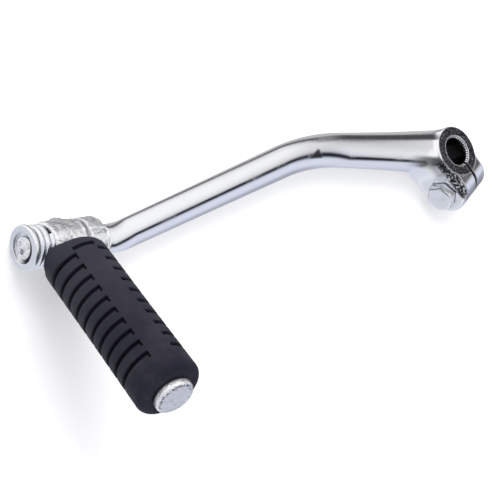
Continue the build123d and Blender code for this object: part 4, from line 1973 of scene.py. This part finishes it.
@dataclass
class Studio:
    """Floor, camera, lamp and the white tent that the chrome mirrors."""

    eye: Point = (686.8327554, 146.5419772, 611.2030429)
    right: Point = (-0.7443718760, 0.2393832730, 0.6233828348)
    up: Point = (-0.0899163036, -0.9609654190, 0.2616496165)
    back: Point = (0.6616838887, 0.1387123356, 0.7368400908)
    focal_px: float = 1900.0
    width_px: float = 492.0
    sensor: float = 36.0
    clip: Span = (0.01, 50.0)
    floor_z: float = -11.15
    floor_reach: float = 4000.0
    floor_low: Colour = (0.80, 0.80, 0.81)
    floor_high: Colour = (0.83, 0.83, 0.83)
    floor_glow: float = 0.32
    tent_pole: Point = (-0.9557, 0.0380, -0.2920)
    tent_rim: float = 0.529
    tent_reach: Span = (-1.0, 0.50)
    tent_low: Ramp = (
        (-0.950, (0.62, 0.65, 0.72)), (-0.600, (0.66, 0.68, 0.76)), (-0.430, (1.00, 1.00, 1.00)),
        (-0.200, (0.95, 0.96, 0.97)), (-0.150, (0.86, 0.88, 0.90)), (-0.100, (0.70, 0.73, 0.77)),
        (-0.070, (0.50, 0.52, 0.56)), (-0.045, (0.03, 0.03, 0.04)), (0.015, (0.012, 0.013, 0.02)),
        (0.055, (0.36, 0.38, 0.45)), (0.095, (0.66, 0.69, 0.82)), (0.200, (0.72, 0.75, 0.89)),
        (0.310, (0.66, 0.69, 0.82)), (0.370, (0.42, 0.44, 0.52)), (0.470, (0.25, 0.26, 0.31)),
    )
    tent_greys: tuple[Span, ...] = (
        (-0.350, 1.00), (-0.200, 0.95), (-0.100, 0.72), (-0.060, 0.42), (-0.035, 0.12), (0.010, 0.10),
        (0.050, 0.34), (0.100, 0.50), (0.300, 0.55), (0.470, 0.40),
    )
    tent_blue: float = 1.02
    tent_under: Ramp = (
        (-0.950, (0.62, 0.65, 0.72)), (-0.600, (0.66, 0.68, 0.76)), (-0.300, (0.78, 0.80, 0.86)),
        (0.000, (0.68, 0.71, 0.81)), (0.300, (0.66, 0.69, 0.82)), (0.370, (0.42, 0.44, 0.52)),
        (0.470, (0.25, 0.26, 0.31)),
    )
    fill_way: Point = (-0.05, -0.62, 0.78)
    fill_low: Colour = (0.18, 0.19, 0.22)
    fill_high: Colour = (1.06, 1.06, 1.07)
    lamp_size: float = 0.9
    lamp_energy: float = 5.0
    lamp_stand: Point = (0.15, -0.62, 1.05)
    lamp_aim: Point = (0.13, 0.03, 0.0)

    def camera(self) -> None:
        """Sets the photograph's camera."""
        data = bpy.data.cameras.new("camera")
        data.sensor_fit = "HORIZONTAL"
        data.sensor_width = self.sensor
        data.lens = self.focal_px / self.width_px * self.sensor
        data.clip_start, data.clip_end = self.clip
        made = bpy.data.objects.new("camera", data)
        turn = Matrix((self.right, self.up, self.back)).transposed().to_4x4()
        turn.translation = Vector(self.eye) * MM
        made.matrix_world = turn
        bpy.context.scene.collection.objects.link(made)
        bpy.context.scene.camera = made

    def floor(self) -> None:
        """Lays a pale floor that keeps the lever's shadow; chrome looks past it into the tent."""
        made, g = Shade.material("studio_floor")
        ray = g.node("ShaderNodeLightPath")
        pale = g.blend(g.grain(g.place(), 8.0, 2.0), self.floor_low, self.floor_high)
        matt = {"Base Color": pale, "Roughness": 1.0, "Specular IOR Level": 0.0}
        glow = {"Emission Color": (1.0, 1.0, 1.0), "Emission Strength": self.floor_glow}
        lit = g.out(g.node("ShaderNodeBsdfPrincipled", None, matt))
        seen = g.out(g.node("ShaderNodeBsdfPrincipled", None, {**matt, **glow}))
        clear = g.out(g.node("ShaderNodeBsdfTransparent"))
        camera = g.out(g.node("ShaderNodeMixShader", None, {0: g.out(ray, "Is Camera Ray"), 1: lit, 2: seen}))
        both = g.out(g.node("ShaderNodeMixShader", None, {0: g.mirrored(ray), 1: camera, 2: clear}))
        g.node("ShaderNodeOutputMaterial", None, {"Surface": both})
        ways = ((-1, -1), (1, -1), (1, 1), (-1, 1))
        corners = [(i * self.floor_reach, j * self.floor_reach, self.floor_z) for i, j in ways]
        mesh = plain_mesh("studio_floor", corners, [(0, 1, 2, 3)])
        mesh.materials.append(made)
        piece("studio_floor", mesh)

    def tent(self, g: Shade, way: Sock) -> Sock:
        """Paints the tent that mirrors see: one dark rim, greyer above and paler underneath.

        Args:
            g: The world's tree.
            way: The direction looked in.

        Returns:
            The tent's colour.
        """
        low, high = self.tent_reach
        past = g.vector("DOT_PRODUCT", way, self.tent_pole, key="Value") - self.tent_rim
        at = (past - low) / (high - low)
        greys = [(place, (v, v, v * self.tent_blue)) for place, v in self.tent_greys]
        ramps = []
        for stops in (self.tent_low, greys, self.tent_under):
            spread = [((place - low) / (high - low), colour) for place, colour in stops]
            ramps.append(g.out(g.node("ShaderNodeValToRGB", {"stops": spread}, {"Fac": at})))
        lower, upper, under = ramps
        rise = g.vector("DOT_PRODUCT", way, self.up, key="Value")
        tent = g.blend(g.ease(rise, 0.05, 0.35), lower, upper)
        return g.blend(g.ease(g.split(way)[2], 0.05, -0.40) * g.ease(rise, 0.10, -0.25), tent, under)

    def world(self) -> None:
        """White to the camera, a soft fill for matt surfaces, and the tent for mirrors."""
        made = bpy.data.worlds.new("studio")
        made.use_nodes = True
        g = Shade(made.node_tree)
        ray = g.node("ShaderNodeLightPath")
        way = g.out(g.node("ShaderNodeTexCoord"), "Generated")
        height = g.vector("DOT_PRODUCT", way, self.fill_way, key="Value")
        fill = g.blend(g.ease(height, -0.9, 0.9), self.fill_low, self.fill_high)
        lit = g.blend(g.mirrored(ray), fill, self.tent(g, way))
        seen = g.blend(g.out(ray, "Is Camera Ray"), lit, (1.0, 1.0, 1.0))
        ground = g.node("ShaderNodeBackground", None, {"Color": seen, "Strength": 1.0})
        g.node("ShaderNodeOutputWorld", None, {"Surface": g.out(ground)})
        bpy.context.scene.world = made

    def lamp(self) -> None:
        """Hangs one broad soft lamp above the lever."""
        data = bpy.data.lights.new("softbox", "AREA")
        data.shape = "DISK"
        data.size = self.lamp_size
        data.energy = self.lamp_energy
        made = bpy.data.objects.new("softbox", data)
        stand = Vector(self.lamp_stand)
        turn = (stand - Vector(self.lamp_aim)).to_track_quat("Z", "Y")
        made.matrix_world = Matrix.Translation(stand) @ turn.to_matrix().to_4x4()
        made.visible_glossy = False
        bpy.context.scene.collection.objects.link(made)

    def build(self) -> None:
        """Sets the whole studio."""
        self.camera()
        self.floor()
        self.world()
        self.lamp()
        bpy.context.scene.view_settings.view_transform = "Standard"


def main() -> None:
    """Builds and dresses the lever's pieces in order."""
    logging.basicConfig(level=logging.INFO, format="%(name)s: %(message)s")
    Studio().build()
    chrome, cast = ChromeFinish().material(), CastFinish().material()
    ArmForging().build(chrome)
    BoreLining().build(ToothFinish().material())
    SpigotEnd().build(cast)
    ClampBolt().build(ZincFinish("bolt_bright_zinc").material())
    PedalCasting().build(cast)
    PedalSleeve().build(RubberFinish().material())
    FoldSpring().build(ZincFinish("spring_plated_wire").material())
    EndWasher().build(ZincFinish("washer_bright_zinc", level=0.22).material())


if __name__ == "__main__":
    main()
